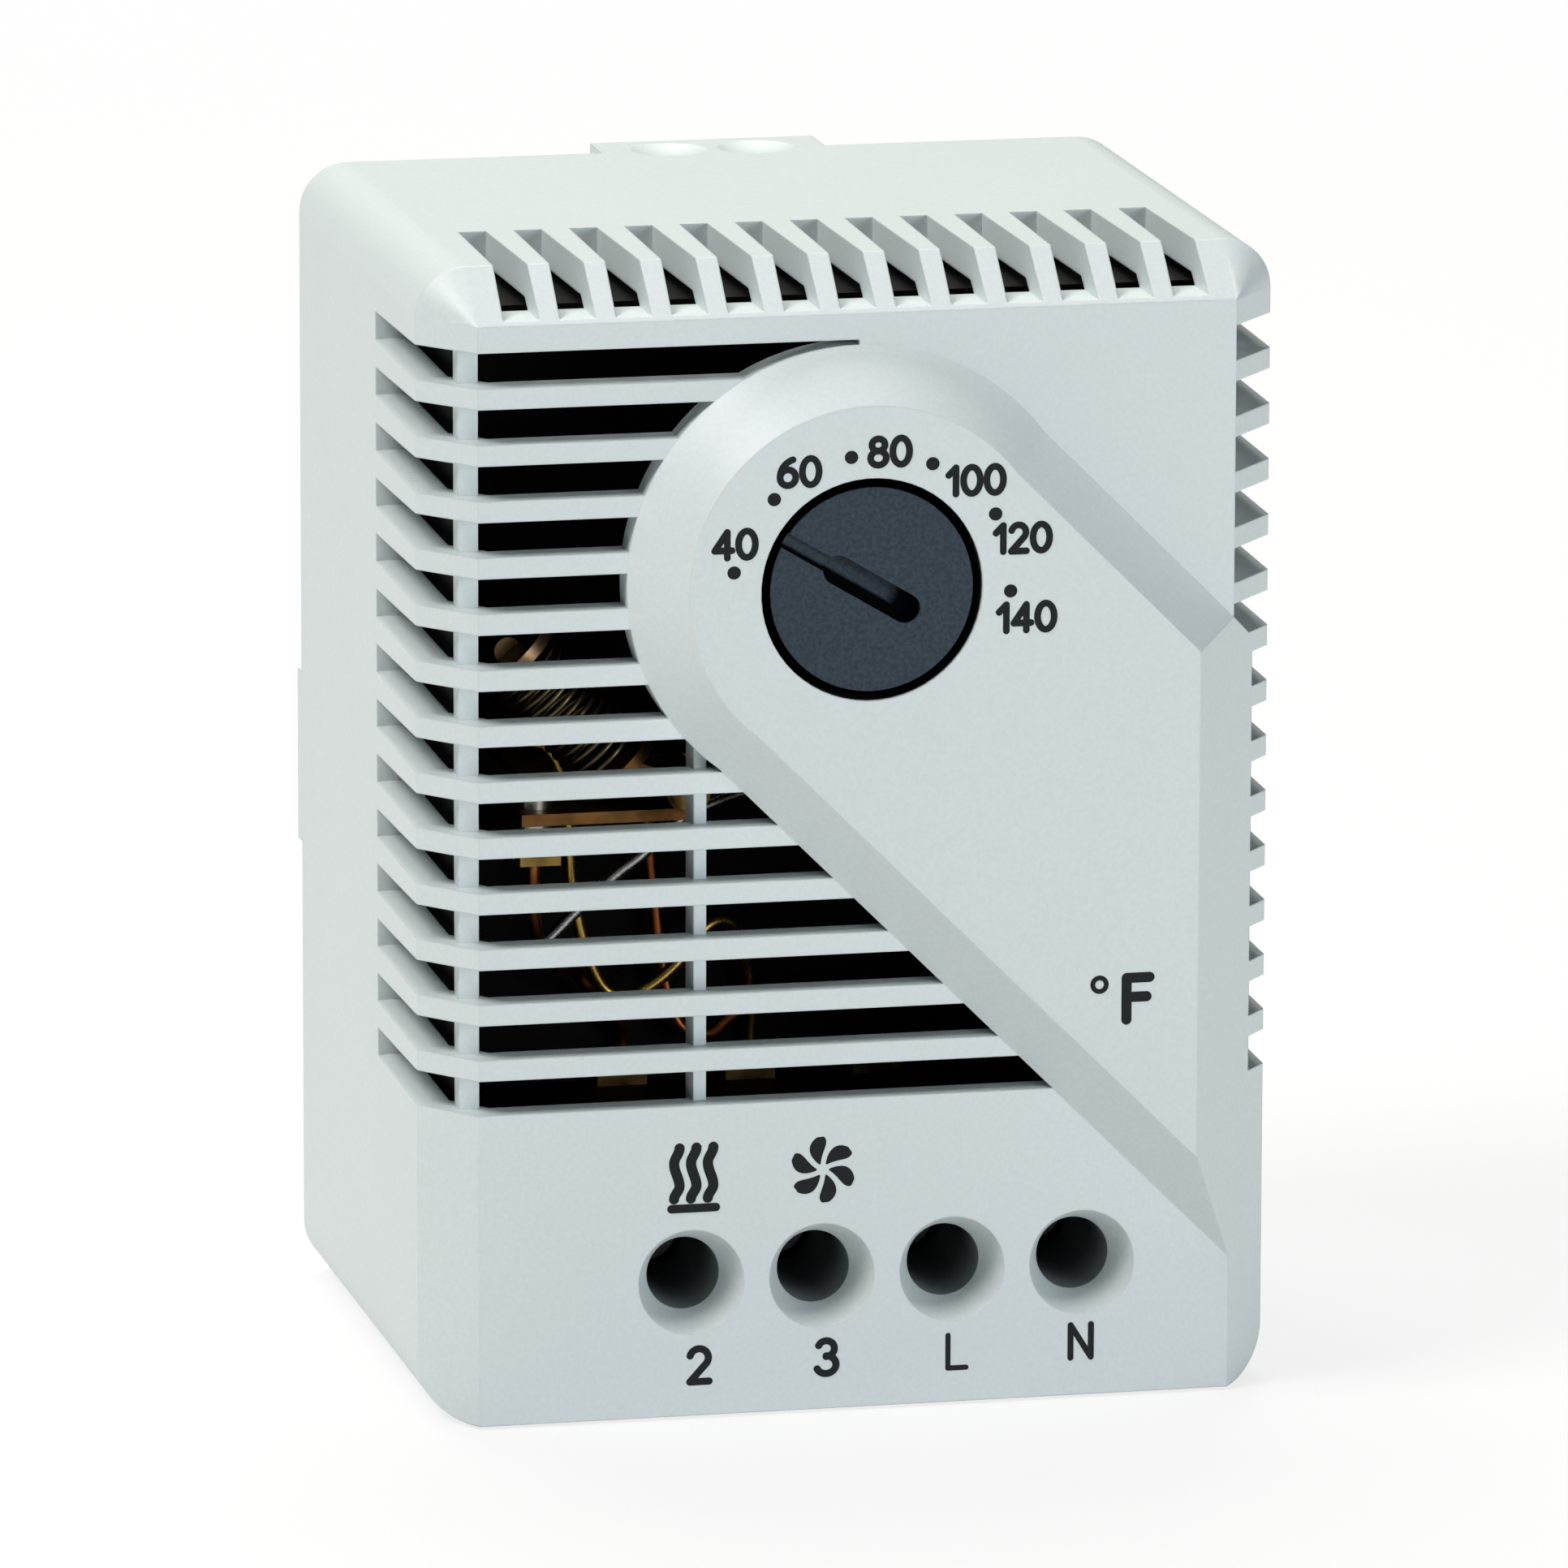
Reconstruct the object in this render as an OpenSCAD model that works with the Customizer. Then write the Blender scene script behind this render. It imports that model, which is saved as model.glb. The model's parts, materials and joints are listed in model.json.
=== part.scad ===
// Mechanical thermostat for a mounting rail: louvred moulded cover, dial, bimetal switch and four rising clamp terminals.
// X runs to the right seen from the front, Y runs from the front to the back, Z is up, and the base is at Z = 0.

/* [Housing] */
// Width of the housing
housing_w = 50; // [48:0.5:54]
// Height of the housing
housing_h = 67; // [65:0.5:71]
// Depth from the louvred front plane to the rear face
housing_d = 39; // [37:0.5:44]
// Thickness of the moulded walls
wall = 2; // [1.8:0.1:2.3]
// Radius of the housing's long corners, and the width of its front chamfers
corner_r = 2.9; // [2.6:0.1:3.2]
// Depth over which the front chamfers run
chamfer_d = 3.6; // [3.2:0.1:4]
// Play between moulded pieces that do not move
seat_gap = 0.1; // [0.05:0.05:0.15]
// Play between pieces that move past each other
run_gap = 0.3; // [0.25:0.05:0.4]

/* [Louvres] */
// Number of slots down each side
side_slots = 14; // [10:1:14]
// Number of slots along the top
top_slots = 13; // [9:1:13]
// Pitch of the slots
slot_pitch = 3.25; // [3.1:0.05:3.3]
// Height of a side slot at the front
slot_front = 2.03; // [1.8:0.05:2.2]
// Height of a side slot at its rear end
slot_rear = 1.62; // [1.4:0.05:1.8]
// Depth at which the side slots end
side_slot_d = 15.4; // [14:0.2:17]
// Depth at which the top slots end
top_slot_d = 14.5; // [13:0.2:16]
// Width of the solid lip between the top slots and the first side slot
lip_h = 1.5; // [1.3:0.1:1.7]
// Width of the stiffening rib behind the front louvres
rib_w = 0.75; // [0.6:0.05:1.2]
// Width of the post behind the left chamfer
post_w = 1.2; // [1:0.1:1.6]

/* [Raised panel] */
// Height of the raised panel above the louvred front plane
panel_rise = 3.5; // [3:0.1:4]
// Radius of the panel round the dial, and half the width of its sloping band
panel_r = 13.5; // [13:0.1:13.9]
// Width of the bevel round the panel
bevel_w = 2.9; // [2.5:0.1:3.2]
// Distance from the housing's top down to the dial's centre
dial_drop = 18.2; // [17.8:0.1:19]

/* [Dial] */
// Radius of the hole for the dial
dial_hole_r = 6.45; // [6.3:0.05:6.8]
// Radius of the dial
dial_r = 5.9; // [5.6:0.05:6]
// Angle of the pointer at rest, anticlockwise from the right
pointer_angle = 149; // [140:1:160]
// Width of the screwdriver slot in the dial
dial_slot_w = 1.7; // [1.4:0.1:2]
// Radius of the dial's spindle
spindle_r = 2; // [1.8:0.05:2.2]
// Radial play of the spindle and the pins in their bearings
bearing_gap = 0.05; // [0.03:0.01:0.08]

/* [Switch] */
// Radius of the setting cam at the dial's rest position
cam_r = 5; // [4.7:0.1:5.3]
// How much the cam's radius grows in one degree of the dial
cam_rise = 0.0102; // [0.009:0.0004:0.0104]
// Thickness of the setting lever
lever_t = 1.5; // [1.2:0.1:1.8]
// Thickness of the bimetal strip
bimetal_t = 0.6; // [0.4:0.1:0.8]
// Width of the bimetal strip
bimetal_w = 4; // [3.5:0.1:4.4]
// Thickness of the contact arm
arm_t = 0.7; // [0.5:0.1:0.8]
// Distance from the arm's pivot to its contact
arm_reach = 8.7; // [8.5:0.1:8.9]
// Gap on each side of the moving contact
contact_gap = 0.45; // [0.4:0.05:0.6]
// Radius of the contact rivets
contact_r = 1.1; // [0.9:0.1:1.2]
// Diameter of the snap spring's wire
snap_wire = 0.3; // [0.28:0.01:0.36]
// Middle radius of the snap spring
snap_r = 2.2; // [2.1:0.1:2.5]
// Length of the snap spring
snap_len = 8; // [7.9:0.05:8.2]

/* [Terminals] */
// Distance between neighbouring terminals
terminal_pitch = 7.69; // [7.5:0.05:7.8]
// Height of the terminal screws
terminal_z = 7.9; // [7.7:0.1:8.3]
// Radius of the screwdriver holes
access_r = 2.13; // [2:0.05:2.3]
// Radius of the mouth of a screwdriver hole
access_mouth_r = 3.1; // [2.9:0.05:3.3]
// Radius of the wire entries in the base
wire_r = 2; // [1.9:0.05:2.1]
// Radius of a terminal screw's thread
screw_r = 1.25; // [1.15:0.05:1.3]
// Radius of a terminal screw's head
screw_head_r = 1.85; // [1.7:0.05:1.9]
// Travel of a wire clamp
clamp_travel = 1.5; // [1.3:0.1:1.6]

/* [Rail foot] */
// Height of the mounting rail
rail_h = 35; // [34:0.5:36]
// How far the hooks stand behind the rear face
hook_reach = 3.5; // [3.3:0.1:4]
// Gap in front of the hooks for the rail's flange
flange_gap = 1.4; // [1.2:0.1:1.5]
// Overlap of each hook behind the rail's flange
hook_overlap = 1.3; // [1.1:0.1:1.5]
// Width of the fixed hook
hook_w = 13.5; // [12:0.5:15]
// Travel of the sliding hook
latch_travel = 2; // [1.8:0.1:2]
// Diameter of the latch spring's wire
latch_wire = 0.35; // [0.3:0.01:0.36]

/* [Hidden] */
$fn = 48;
over = 0.5;

// Places that the whole housing shares
plane_y = panel_rise - (panel_rise + housing_d + hook_reach) / 2;
half_w = housing_w / 2;
flat_w = half_w - corner_r;
flat_z = housing_h - corner_r;
rear_y = plane_y + housing_d;
hook_y = rear_y + hook_reach;
face_y = plane_y - panel_rise;
dial_z = housing_h - dial_drop;
inner_w = half_w - wall;
inner_z = housing_h - wall;
inner_y = plane_y + wall;
chamfer_len = sqrt(corner_r * corner_r + chamfer_d * chamfer_d);
chamfer_step = wall * (chamfer_len - corner_r) / chamfer_d;
chamfer_end_d = (chamfer_d * (inner_w - flat_w) + wall * chamfer_len) / corner_r;
bevel_slope = corner_r / chamfer_d;

// Places of the louvres
slot_top_z = flat_z - lip_h;
slot_low_z = slot_top_z - (side_slots - 1) * slot_pitch - slot_front;
slot_reach_share = 0.5;
ledge_h = 0.25;
top_slot_front = 2.12;
rib_d = 1.4;
rib_x = -8.95;
rib_top_z = 43;
post_d = 2;
post_set = 0.4;
stop_h = 40;
stop_w = 1;
stop_d = 2;
foot_low_z = 26.1;
foot_high_z = 36.4;
foot_reach = 1.25;

// Places of the panel
panel_wall = wall * sqrt(1 + pow(bevel_w / panel_rise, 2));
band_len = housing_h;
band_share = 0.99;
tube_d = 12.4;
access_cone_d = 2.4;

// Depths inside, from the louvred front plane
chassis_d = 5;
chassis_back_d = 22;
chassis_t = 1.5;
chassis_wall = 1.2;
chassis_gap = 0.6;
bearing_len = 3;
bearing_wall = 2;
block_d = 12.6;
block_back_t = 1.2;
block_low_z = wall;
block_high_z = 13.9;
block_side = 4.5;
block_ledge_d = 14.5;
block_ledge_t = 0.9;
chamber_side = 2.9;
chamber_z_half = 2.8;
cage_side = 2.6;
cage_z_half = 2.5;
cage_wall = 0.8;
cage_front_d = 17.5;
cage_front_t = 1.4;
wire_room = 3.1;
rail_w = 3;
rail_t = 0.8;
rail_d = cage_front_d + cage_front_t + run_gap;
wire_d = rail_d + rail_t + wire_room / 2;
cage_end_d = rail_d + rail_t + wire_room + cage_wall;
chamber_end_d = cage_end_d + run_gap + seat_gap;
block_end_d = chamber_end_d + block_back_t;
entry_side = 3.2;
entry_half = 2.9;
entry_cone_h = 1;
terminal_x0 = -9.7;
screw_head_d = 12.8;
screw_head_t = 1.5;
screw_slot_w = 0.5;
screw_slot_t = 0.6;
rail_top_z = [16.4, 16.2, 16, 16.4];

// Places of the dial's pieces
knob_set = 0.15;
knob_t = 2.6;
flange_r = 7.4;
flange_t = 0.9;
hub_r = 3.4;
hub_end_d = 5;
pointer_w = 0.9;
pointer_t = 0.5;
slot_t = 1.2;
slot_half = 2.3;
fit_gap = 0.03;
groove_r = 1.6;
clip_t = 0.6;
clip_r = 3.6;
clip_mouth = 2.6;
spindle_tail = 1;
cam_d = 9;
cam_t = 2.5;
cam_hub_r = 3.2;
cam_hub_t = 1.2;
cam_low = -40;
cam_high = 160;
cam_step = 5;

// Places of the setting lever
lever_x = 12;
lever_drop = 8.8;
lever_z = dial_z - lever_drop;
lever_d = 9.5;
pin_r = 1.5;
pin_head_r = 2.4;
pin_head_t = 0.7;
pin_end_d = chassis_back_d - chassis_t / 2;
lever_arm_w = 4;
lever_boss_r = 3;
tip_gap = 0.35;
tip_r = 0.8;
tip_len = 1.5;
cal_r = 1.25;
cal_head_r = 2.1;
cal_head_t = 1.2;
cal_lug_x = 8.2;
cal_lug_t = 2;
cal_x = cal_lug_x + cal_lug_t;
cal_lug_half = 2;
bimetal_drop = 11.2;
bimetal_z = lever_z - bimetal_drop;
bimetal_x0 = -6.5;
bimetal_x1 = 14;
foot_x0 = 3;
foot_t = 1.2;
rivet_r = 0.6;
rivet_head_r = 1;
rivet_head_t = 0.4;

// Places of the contact arm
arm_set = 14.4;
arm_lift = 6.7;
arm_x = arm_set - inner_w;
arm_z = bimetal_z + arm_lift;
arm_drop = 1;
arm_d = 5.9;
arm_w = 4.4;
barrel_r = 1.3;
arm_pin_r = 0.6;
arm_head_r = 1.1;
arm_head_t = 0.5;
pivot_w = 2.4;
rivet_h = 0.6;
contact_h = 1;
strip_t = 0.7;
strip_side = 1.2;
snap_angle = 48;
snap_side = 7;
snap_lift = 4.7;
snap_x = arm_x - snap_side;
snap_z = arm_z + snap_lift;
snap_d = 8.1;
seat_r = 2.8;
seat_t = 0.7;
seat_stem_r = 0.8;
ear_w = 0.9;
snap_curls = 12;
latch_curls = 7;

// Places of the resistor and the leads
resistor_x0 = 0.5;
resistor_len = 8.5;
resistor_r = 1.5;
resistor_cap_r = 1.6;
resistor_cap_len = 1.2;
resistor_lift = 4.7;
resistor_z = bimetal_z + resistor_lift;
resistor_d = 14;
lead_r = 0.4;
lead_sides = 8;
lead_side_share = 0.37;
resistor_lead_set = 0.6;
resistor_lead_drop = 4.6;
cooling_lead_d = 15.5;
common_lead_d = 18.4;

// Places of the rail foot
post_r = 2.2;
rear_post_side = 5;
rear_post_drop = 7;
post_x = inner_w - rear_post_side;
post_low_z = 20;
post_high_z = inner_z - rear_post_drop;
rear_t = 2.5;
rail_mid_z = 34.1;
rail_play = 0.2;
upper_edge_z = rail_mid_z + rail_h / 2;
lower_edge_z = rail_mid_z - rail_h / 2;
scallop_r = 6;
scallop_x = 2.6;
scallop_t = 0.45;
scallop_back = 0.4;
latch_side = 6;
latch_neck = 4.8;
latch_flange_d = 1.7;
latch_low_z = 2;
guide_w = 2;
guide_low_z = 1;
guide_drop = 0.9;
window_side = 1.7;
window_low_z = 7;
window_high_z = 14.9;
lug_side = 1.4;
lug_t = 1.5;
lug_set = 0.3;
latch_spring_r = 1.15;
latch_spring_d = 1.85;
pry_side = 2.2;
pry_low_z = 3.2;
pry_h = 1.6;

function depth(d) = plane_y + d;
function terminal_x(k) = terminal_x0 + k * terminal_pitch;
function slot_mid_z(k) = slot_top_z - k * slot_pitch - slot_front / 2;
function top_slot_x(k) = (k - (top_slots - 1) / 2) * slot_pitch;

// A block between two corners
module block(low, high) {
    translate(low) cube(high - low);
}
// An outline in X and Z, drawn out from y0 to y1
module along_y(y0, y1) {
    translate([0, y1, 0]) rotate([90, 0, 0]) linear_extrude(y1 - y0) children();
}
// An outline in Y and Z, drawn out from x0 to x1
module along_x(x0, x1) {
    translate([x0, 0, 0]) rotate([90, 0, 90]) linear_extrude(x1 - x0) children();
}
// A round rod or cone along Y, with its front and rear radii
module rod_y(x, z, y0, y1, r_front, r_rear = undef) {
    translate([x, y1, z]) rotate([90, 0, 0])
        cylinder(r1 = is_undef(r_rear) ? r_front : r_rear, r2 = r_front, h = y1 - y0);
}
// A round rod along X
module rod_x(x0, x1, y, z, r) {
    translate([x0, y, z]) rotate([0, 90, 0]) cylinder(r = r, h = x1 - x0);
}
// The frame of the sloping band: X runs down to the right at 45 degrees
module band_frame() {
    translate([0, 0, dial_z]) rotate([0, 45, 0]) children();
}

// Where a path points at point i
function heading(p, i) =
    let (a = p[max(i - 1, 0)], b = p[min(i + 1, len(p) - 1)]) (b - a) / norm(b - a);
// A tube along a path, with each ring turned to face the way between its neighbours
module tube(p, out, r, sides) {
    rings = len(p);
    points = [for (i = [0 : rings - 1])
        let (t = heading(p, i), s = cross(t, out[i]), u = s / norm(s), v = cross(u, t))
        for (k = [0 : sides - 1]) p[i] + r * cos(k * 360 / sides) * v + r * sin(k * 360 / sides) * u];
    walls = [for (i = [0 : rings - 2]) for (k = [0 : sides - 1])
        let (a = i * sides + k, b = i * sides + (k + 1) % sides)
        each [[a, a + sides, b], [b, a + sides, b + sides]]];
    caps = [for (k = [1 : sides - 2]) each [[0, k, k + 1],
        [(rings - 1) * sides, (rings - 1) * sides + k + 1, (rings - 1) * sides + k]]];
    polyhedron(points = points, faces = concat(walls, caps), convexity = 10);
}
// A coil's path up Z: a straight lead, eight rings for each curl, and a straight lead
function coil_path(r, wire, curls, length) = let (n = curls * 8)
    concat([[r, 0, 0]],
        [for (i = [0 : n]) [r * cos(45 * i), r * sin(45 * i), wire + (length - 2 * wire) * i / n]],
        [[r * cos(45 * n), r * sin(45 * n), length]]);
function coil_out(curls) = let (n = curls * 8)
    concat([[1, 0, 0]], [for (i = [0 : n]) [cos(45 * i), sin(45 * i), 0]], [[cos(45 * n), sin(45 * n), 0]]);
function coil_gap(p, wire) =
    min([for (i = [0 : len(p) - 6]) for (j = [i + 5 : len(p) - 1]) norm(p[i] - p[j])]) - wire;
module coil(name, r, wire, curls, length) {
    path = coil_path(r, wire, curls, length);
    echo(name, least_gap_mm = coil_gap(path, wire));
    tube(path, coil_out(curls), wire / 2, 6);
}

// The housing's outline in X and Z, with round corners
module housing_outline() {
    translate([-flat_w, 0]) square([2 * flat_w, housing_h]);
    translate([-half_w, corner_r]) square([housing_w, housing_h - 2 * corner_r]);
    for (x = [-flat_w, flat_w], z = [corner_r, flat_z]) translate([x, z]) circle(corner_r);
}
// The solid inside the side chamfers, in X and Y, set in by a wall
module side_limits(set_w, step, start_y, end_d, low_z, high_z) {
    translate([0, 0, low_z]) linear_extrude(high_z - low_z)
        polygon([[-flat_w + step, start_y], [flat_w - step, start_y], [set_w, depth(end_d)],
            [set_w, rear_y + over], [-set_w, rear_y + over], [-set_w, depth(end_d)]]);
}
// The solid inside the top chamfer, in Y and Z, set in by a wall
module top_limit(set_z, step, start_y, end_d, low_z) {
    along_x(-half_w, half_w)
        polygon([[start_y, low_z], [start_y, flat_z - step], [depth(end_d), set_z],
            [rear_y + over, set_z], [rear_y + over, low_z]]);
}
module housing_outer() {
    difference() {
        intersection() {
            along_y(plane_y, rear_y) housing_outline();
            side_limits(half_w, 0, plane_y, chamfer_d, 0, housing_h);
            top_limit(housing_h, 0, plane_y, chamfer_d, 0);
        }
        for (s = [-1, 1]) scale([s, 1, 1])
            block([flat_w, plane_y - over, flat_z], [half_w + over, depth(chamfer_d), housing_h + over]);
    }
    for (x = [-flat_w, flat_w]) rod_y(x, flat_z, plane_y, depth(chamfer_d), 0, corner_r);
}
module housing_inner() {
    intersection() {
        side_limits(inner_w, chamfer_step, inner_y, chamfer_end_d, wall, inner_z);
        top_limit(inner_z, chamfer_step, inner_y, chamfer_end_d, wall);
    }
}
// One side slot: full height at the front, narrower towards its rear end
module side_slot(k, x0, x1) {
    z = slot_mid_z(k);
    along_x(x0, x1)
        polygon([[plane_y - over, z - slot_front / 2], [depth(chamfer_d), z - slot_front / 2],
            [depth(side_slot_d), z - slot_rear / 2], [depth(side_slot_d), z + slot_rear / 2],
            [depth(chamfer_d), z + slot_front / 2], [plane_y - over, z + slot_front / 2]]);
}
module louvres() {
    for (k = [0 : side_slots - 1]) {
        side_slot(k, -half_w - over, -inner_w + over);
        side_slot(k, flat_w, half_w + over);
        block([-half_w - over, plane_y - over, slot_mid_z(k) - slot_front / 2],
            [max(0, (dial_z - slot_mid_z(k)) * slot_reach_share), depth(chamfer_end_d),
                slot_mid_z(k) + slot_front / 2]);
    }
    for (k = [0 : top_slots - 1]) translate([top_slot_x(k), 0, flat_z + ledge_h])
        linear_extrude(corner_r + over)
            polygon([[-top_slot_front / 2, plane_y - over], [top_slot_front / 2, plane_y - over],
                [slot_rear / 2, depth(top_slot_d)], [-slot_rear / 2, depth(top_slot_d)]]);
}
// The panel's body: a round head and a band, from depth 0 to the front, with its bevel
module panel_form(r, top_r, end_d, rise) {
    half = r * band_share;
    top_half = top_r * band_share;
    rod_y(0, dial_z, plane_y, depth(end_d), r);
    rod_y(0, dial_z, plane_y - rise, plane_y, top_r, r);
    band_frame() {
        along_x(0, band_len)
            polygon([[plane_y - rise, -top_half], [plane_y, -half], [depth(end_d), -half],
                [depth(end_d), half], [plane_y, half], [plane_y - rise, top_half]]);
    }
}
// Everything behind the plane of the right chamfer, drawn on towards the front
module right_limit(step) {
    translate([0, 0, wall]) linear_extrude(housing_h - 2 * wall)
        polygon([[-half_w, face_y - over], [flat_w - step - (panel_rise + over) * bevel_slope, face_y - over],
            [flat_w - step + chamfer_d * bevel_slope, depth(chamfer_d)], [-half_w, depth(chamfer_d)]]);
}
module panel() {
    intersection() {
        panel_form(panel_r, panel_r - bevel_w, wall, panel_rise);
        right_limit(0);
    }
}
module panel_hollow() {
    intersection() {
        panel_form(panel_r - panel_wall, panel_r - panel_wall - bevel_w * (panel_rise - wall) / panel_rise,
            wall + over, panel_rise - wall);
        right_limit(panel_wall);
    }
}
// Two shallow dips for the fingers, across the top rear edge and the hook behind it
module finger_dips() {
    for (x = [-scallop_x, scallop_x])
        translate([x, rear_y + scallop_back, housing_h + scallop_r - scallop_t]) sphere(scallop_r);
}
module front_cover() {
    color([0.81, 0.84, 0.85]) difference() {
        union() {
            difference() {
                union() {
                    difference() {
                        housing_outer();
                        housing_inner();
                        louvres();
                    }
                    panel();
                }
                panel_hollow();
            }
            // post behind the left chamfer, and the rib behind the long louvres
            block([-flat_w - post_w + post_set, depth(post_d), slot_low_z - over],
                [-flat_w + post_set, depth(post_d + post_w), slot_top_z + over]);
            block([rib_x - rib_w / 2, inner_y - rib_d / 2, slot_low_z - over],
                [rib_x + rib_w / 2, inner_y + rib_d, rib_top_z]);
            // tubes that guide the screwdriver to the terminals
            for (k = [0 : 3]) rod_y(terminal_x(k), terminal_z, inner_y - wall / 2, depth(tube_d), access_mouth_r);
            // stops for the rear cover, and the feet on the side walls' rear edges
            for (s = [-1, 1]) scale([s, 1, 1]) {
                block([inner_w - stop_w, rear_y - rear_t - stop_d, (housing_h - stop_h) / 2],
                    [half_w - wall / 2, rear_y - rear_t, (housing_h + stop_h) / 2]);
                block([inner_w, rear_y - over, foot_low_z], [half_w, rear_y + foot_reach, foot_high_z]);
            }
        }
        rod_y(0, dial_z, face_y - over, inner_y, dial_hole_r);
        for (k = [0 : 3]) {
            rod_y(terminal_x(k), terminal_z, plane_y - over, depth(tube_d) + over, access_r);
            rod_y(terminal_x(k), terminal_z, plane_y, depth(access_cone_d), access_mouth_r, access_r);
        }
        // window in the floor for the terminal block's wire entries
        block([terminal_x(0) - entry_side - seat_gap, depth(wire_d - entry_half) - seat_gap, -over],
            [terminal_x(3) + entry_side + seat_gap, depth(wire_d + entry_half) + seat_gap, wall + over]);
        finger_dips();
    }
}

// The chassis: a dark moulded tray that carries the switch, open to the front
module chassis() {
    side = inner_w - chassis_gap;
    low = block_high_z;
    high = inner_z - chassis_gap;
    color([0.13, 0.10, 0.08]) difference() {
        union() {
            difference() {
                block([-side, depth(chassis_d), low], [side, depth(chassis_back_d), high]);
                block([-side + chassis_wall, depth(chassis_d) - over, low + chassis_wall],
                    [side - chassis_wall, depth(chassis_back_d - chassis_t), high - chassis_wall]);
            }
            rod_y(0, dial_z, depth(chassis_back_d - chassis_t - bearing_len), depth(chassis_back_d - chassis_t / 2),
                spindle_r + bearing_wall);
            rod_y(lever_x, lever_z, depth(lever_d + lever_t + run_gap), depth(chassis_back_d - chassis_t / 2),
                lever_boss_r);
        }
        rod_y(0, dial_z, depth(chassis_d), depth(chassis_back_d) + over, spindle_r + bearing_gap);
        rod_y(lever_x, lever_z, depth(lever_d), depth(pin_end_d), pin_r);
        for (k = [0 : 3])
            block([terminal_x(k) - rail_w / 2 - run_gap, depth(rail_d) - run_gap, low - over],
                [terminal_x(k) + rail_w / 2 + run_gap, depth(rail_d + rail_t) + run_gap, low + chassis_wall + over]);
    }
}

// The rear cover: a plate inside the housing, posts for the chassis, the fixed hook and the latch's guides
module rear_cover() {
    color([0.79, 0.82, 0.83]) difference() {
        union() {
            block([-inner_w + seat_gap, rear_y - rear_t, wall + seat_gap],
                [inner_w - seat_gap, rear_y, inner_z - seat_gap]);
            for (x = [-post_x, post_x], z = [post_low_z, post_high_z])
                rod_y(x, z, depth(chassis_back_d), rear_y - rear_t / 2, post_r);
            block([-hook_w / 2, rear_y, upper_edge_z + rail_play], [hook_w / 2, hook_y, housing_h]);
            block([-hook_w / 2, rear_y + flange_gap, upper_edge_z - hook_overlap],
                [hook_w / 2, hook_y, upper_edge_z + rail_play]);
            for (s = [-1, 1]) scale([s, 1, 1]) {
                block([latch_side + run_gap, rear_y, guide_low_z],
                    [latch_side + run_gap + guide_w, hook_y, lower_edge_z - guide_drop]);
                block([latch_neck + run_gap, rear_y + run_gap + latch_flange_d + run_gap, guide_low_z],
                    [latch_side + run_gap + guide_w, hook_y, lower_edge_z - guide_drop]);
            }
            block([-lug_side, rear_y, window_low_z + lug_set],
                [lug_side, hook_y - run_gap, window_low_z + lug_set + lug_t]);
        }
        finger_dips();
    }
}
// The sliding hook: a flanged slide with a lip, a window for its spring and a slot to pry it down
module rail_latch() {
    top = lower_edge_z - rail_play;
    color([0.75, 0.78, 0.80]) difference() {
        union() {
            block([-latch_side, rear_y + run_gap, latch_low_z], [latch_side, rear_y + run_gap + latch_flange_d, top]);
            block([-latch_neck, rear_y + run_gap, latch_low_z], [latch_neck, hook_y, top]);
            block([-latch_neck, rear_y + flange_gap, latch_low_z],
                [latch_neck, hook_y, top + rail_play + hook_overlap]);
        }
        block([-window_side, rear_y, window_low_z], [window_side, hook_y + over, window_high_z]);
        block([-pry_side, rear_y, pry_low_z], [pry_side, hook_y + over, pry_low_z + pry_h]);
    }
}
module latch_spring() {
    low = window_low_z + lug_set + lug_t;
    color([0.75, 0.75, 0.77]) translate([0, rear_y + latch_spring_d, low])
        coil("latch_spring", latch_spring_r, latch_wire, latch_curls, window_high_z - low);
}

// The dial: a flush disc with a pointer groove, held behind the panel by its flange
module dial_knob() {
    front = face_y + knob_set;
    color([0.23, 0.27, 0.31]) difference() {
        union() {
            rod_y(0, dial_z, front, front + knob_t, dial_r);
            rod_y(0, dial_z, plane_y - panel_rise + wall + run_gap,
                plane_y - panel_rise + wall + run_gap + flange_t, flange_r);
            rod_y(0, dial_z, front, depth(hub_end_d), hub_r);
        }
        rod_y(0, dial_z, front + 2 * slot_t, depth(hub_end_d) + over, spindle_r);
        translate([0, 0, dial_z]) rotate([0, -pointer_angle, 0]) {
            block([-slot_half, front - over, -dial_slot_w / 2], [slot_half, front + slot_t, dial_slot_w / 2]);
            for (x = [-slot_half, slot_half]) rod_y(x, 0, front - over, front + slot_t, dial_slot_w / 2);
            block([0, front - over, -pointer_w / 2], [dial_r + over, front + pointer_t, pointer_w / 2]);
        }
    }
}
module dial_spindle() {
    clip_y = depth(chassis_back_d) + run_gap;
    color([0.78, 0.79, 0.80]) difference() {
        rod_y(0, dial_z, face_y + knob_set + 2 * slot_t, clip_y + clip_t + spindle_tail, spindle_r - fit_gap);
        difference() {
            rod_y(0, dial_z, clip_y, clip_y + clip_t, spindle_r + over);
            rod_y(0, dial_z, clip_y - over, clip_y + clip_t + over, groove_r);
        }
    }
}
// The clip that holds the spindle behind the chassis
module spindle_clip() {
    clip_y = depth(chassis_back_d) + run_gap;
    color([0.55, 0.56, 0.58]) difference() {
        rod_y(0, dial_z, clip_y, clip_y + clip_t, clip_r);
        rod_y(0, dial_z, clip_y - over, clip_y + clip_t + over, groove_r);
        block([0, clip_y - over, dial_z - clip_mouth / 2], [clip_r + over, clip_y + clip_t + over, dial_z + clip_mouth / 2]);
    }
}
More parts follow.
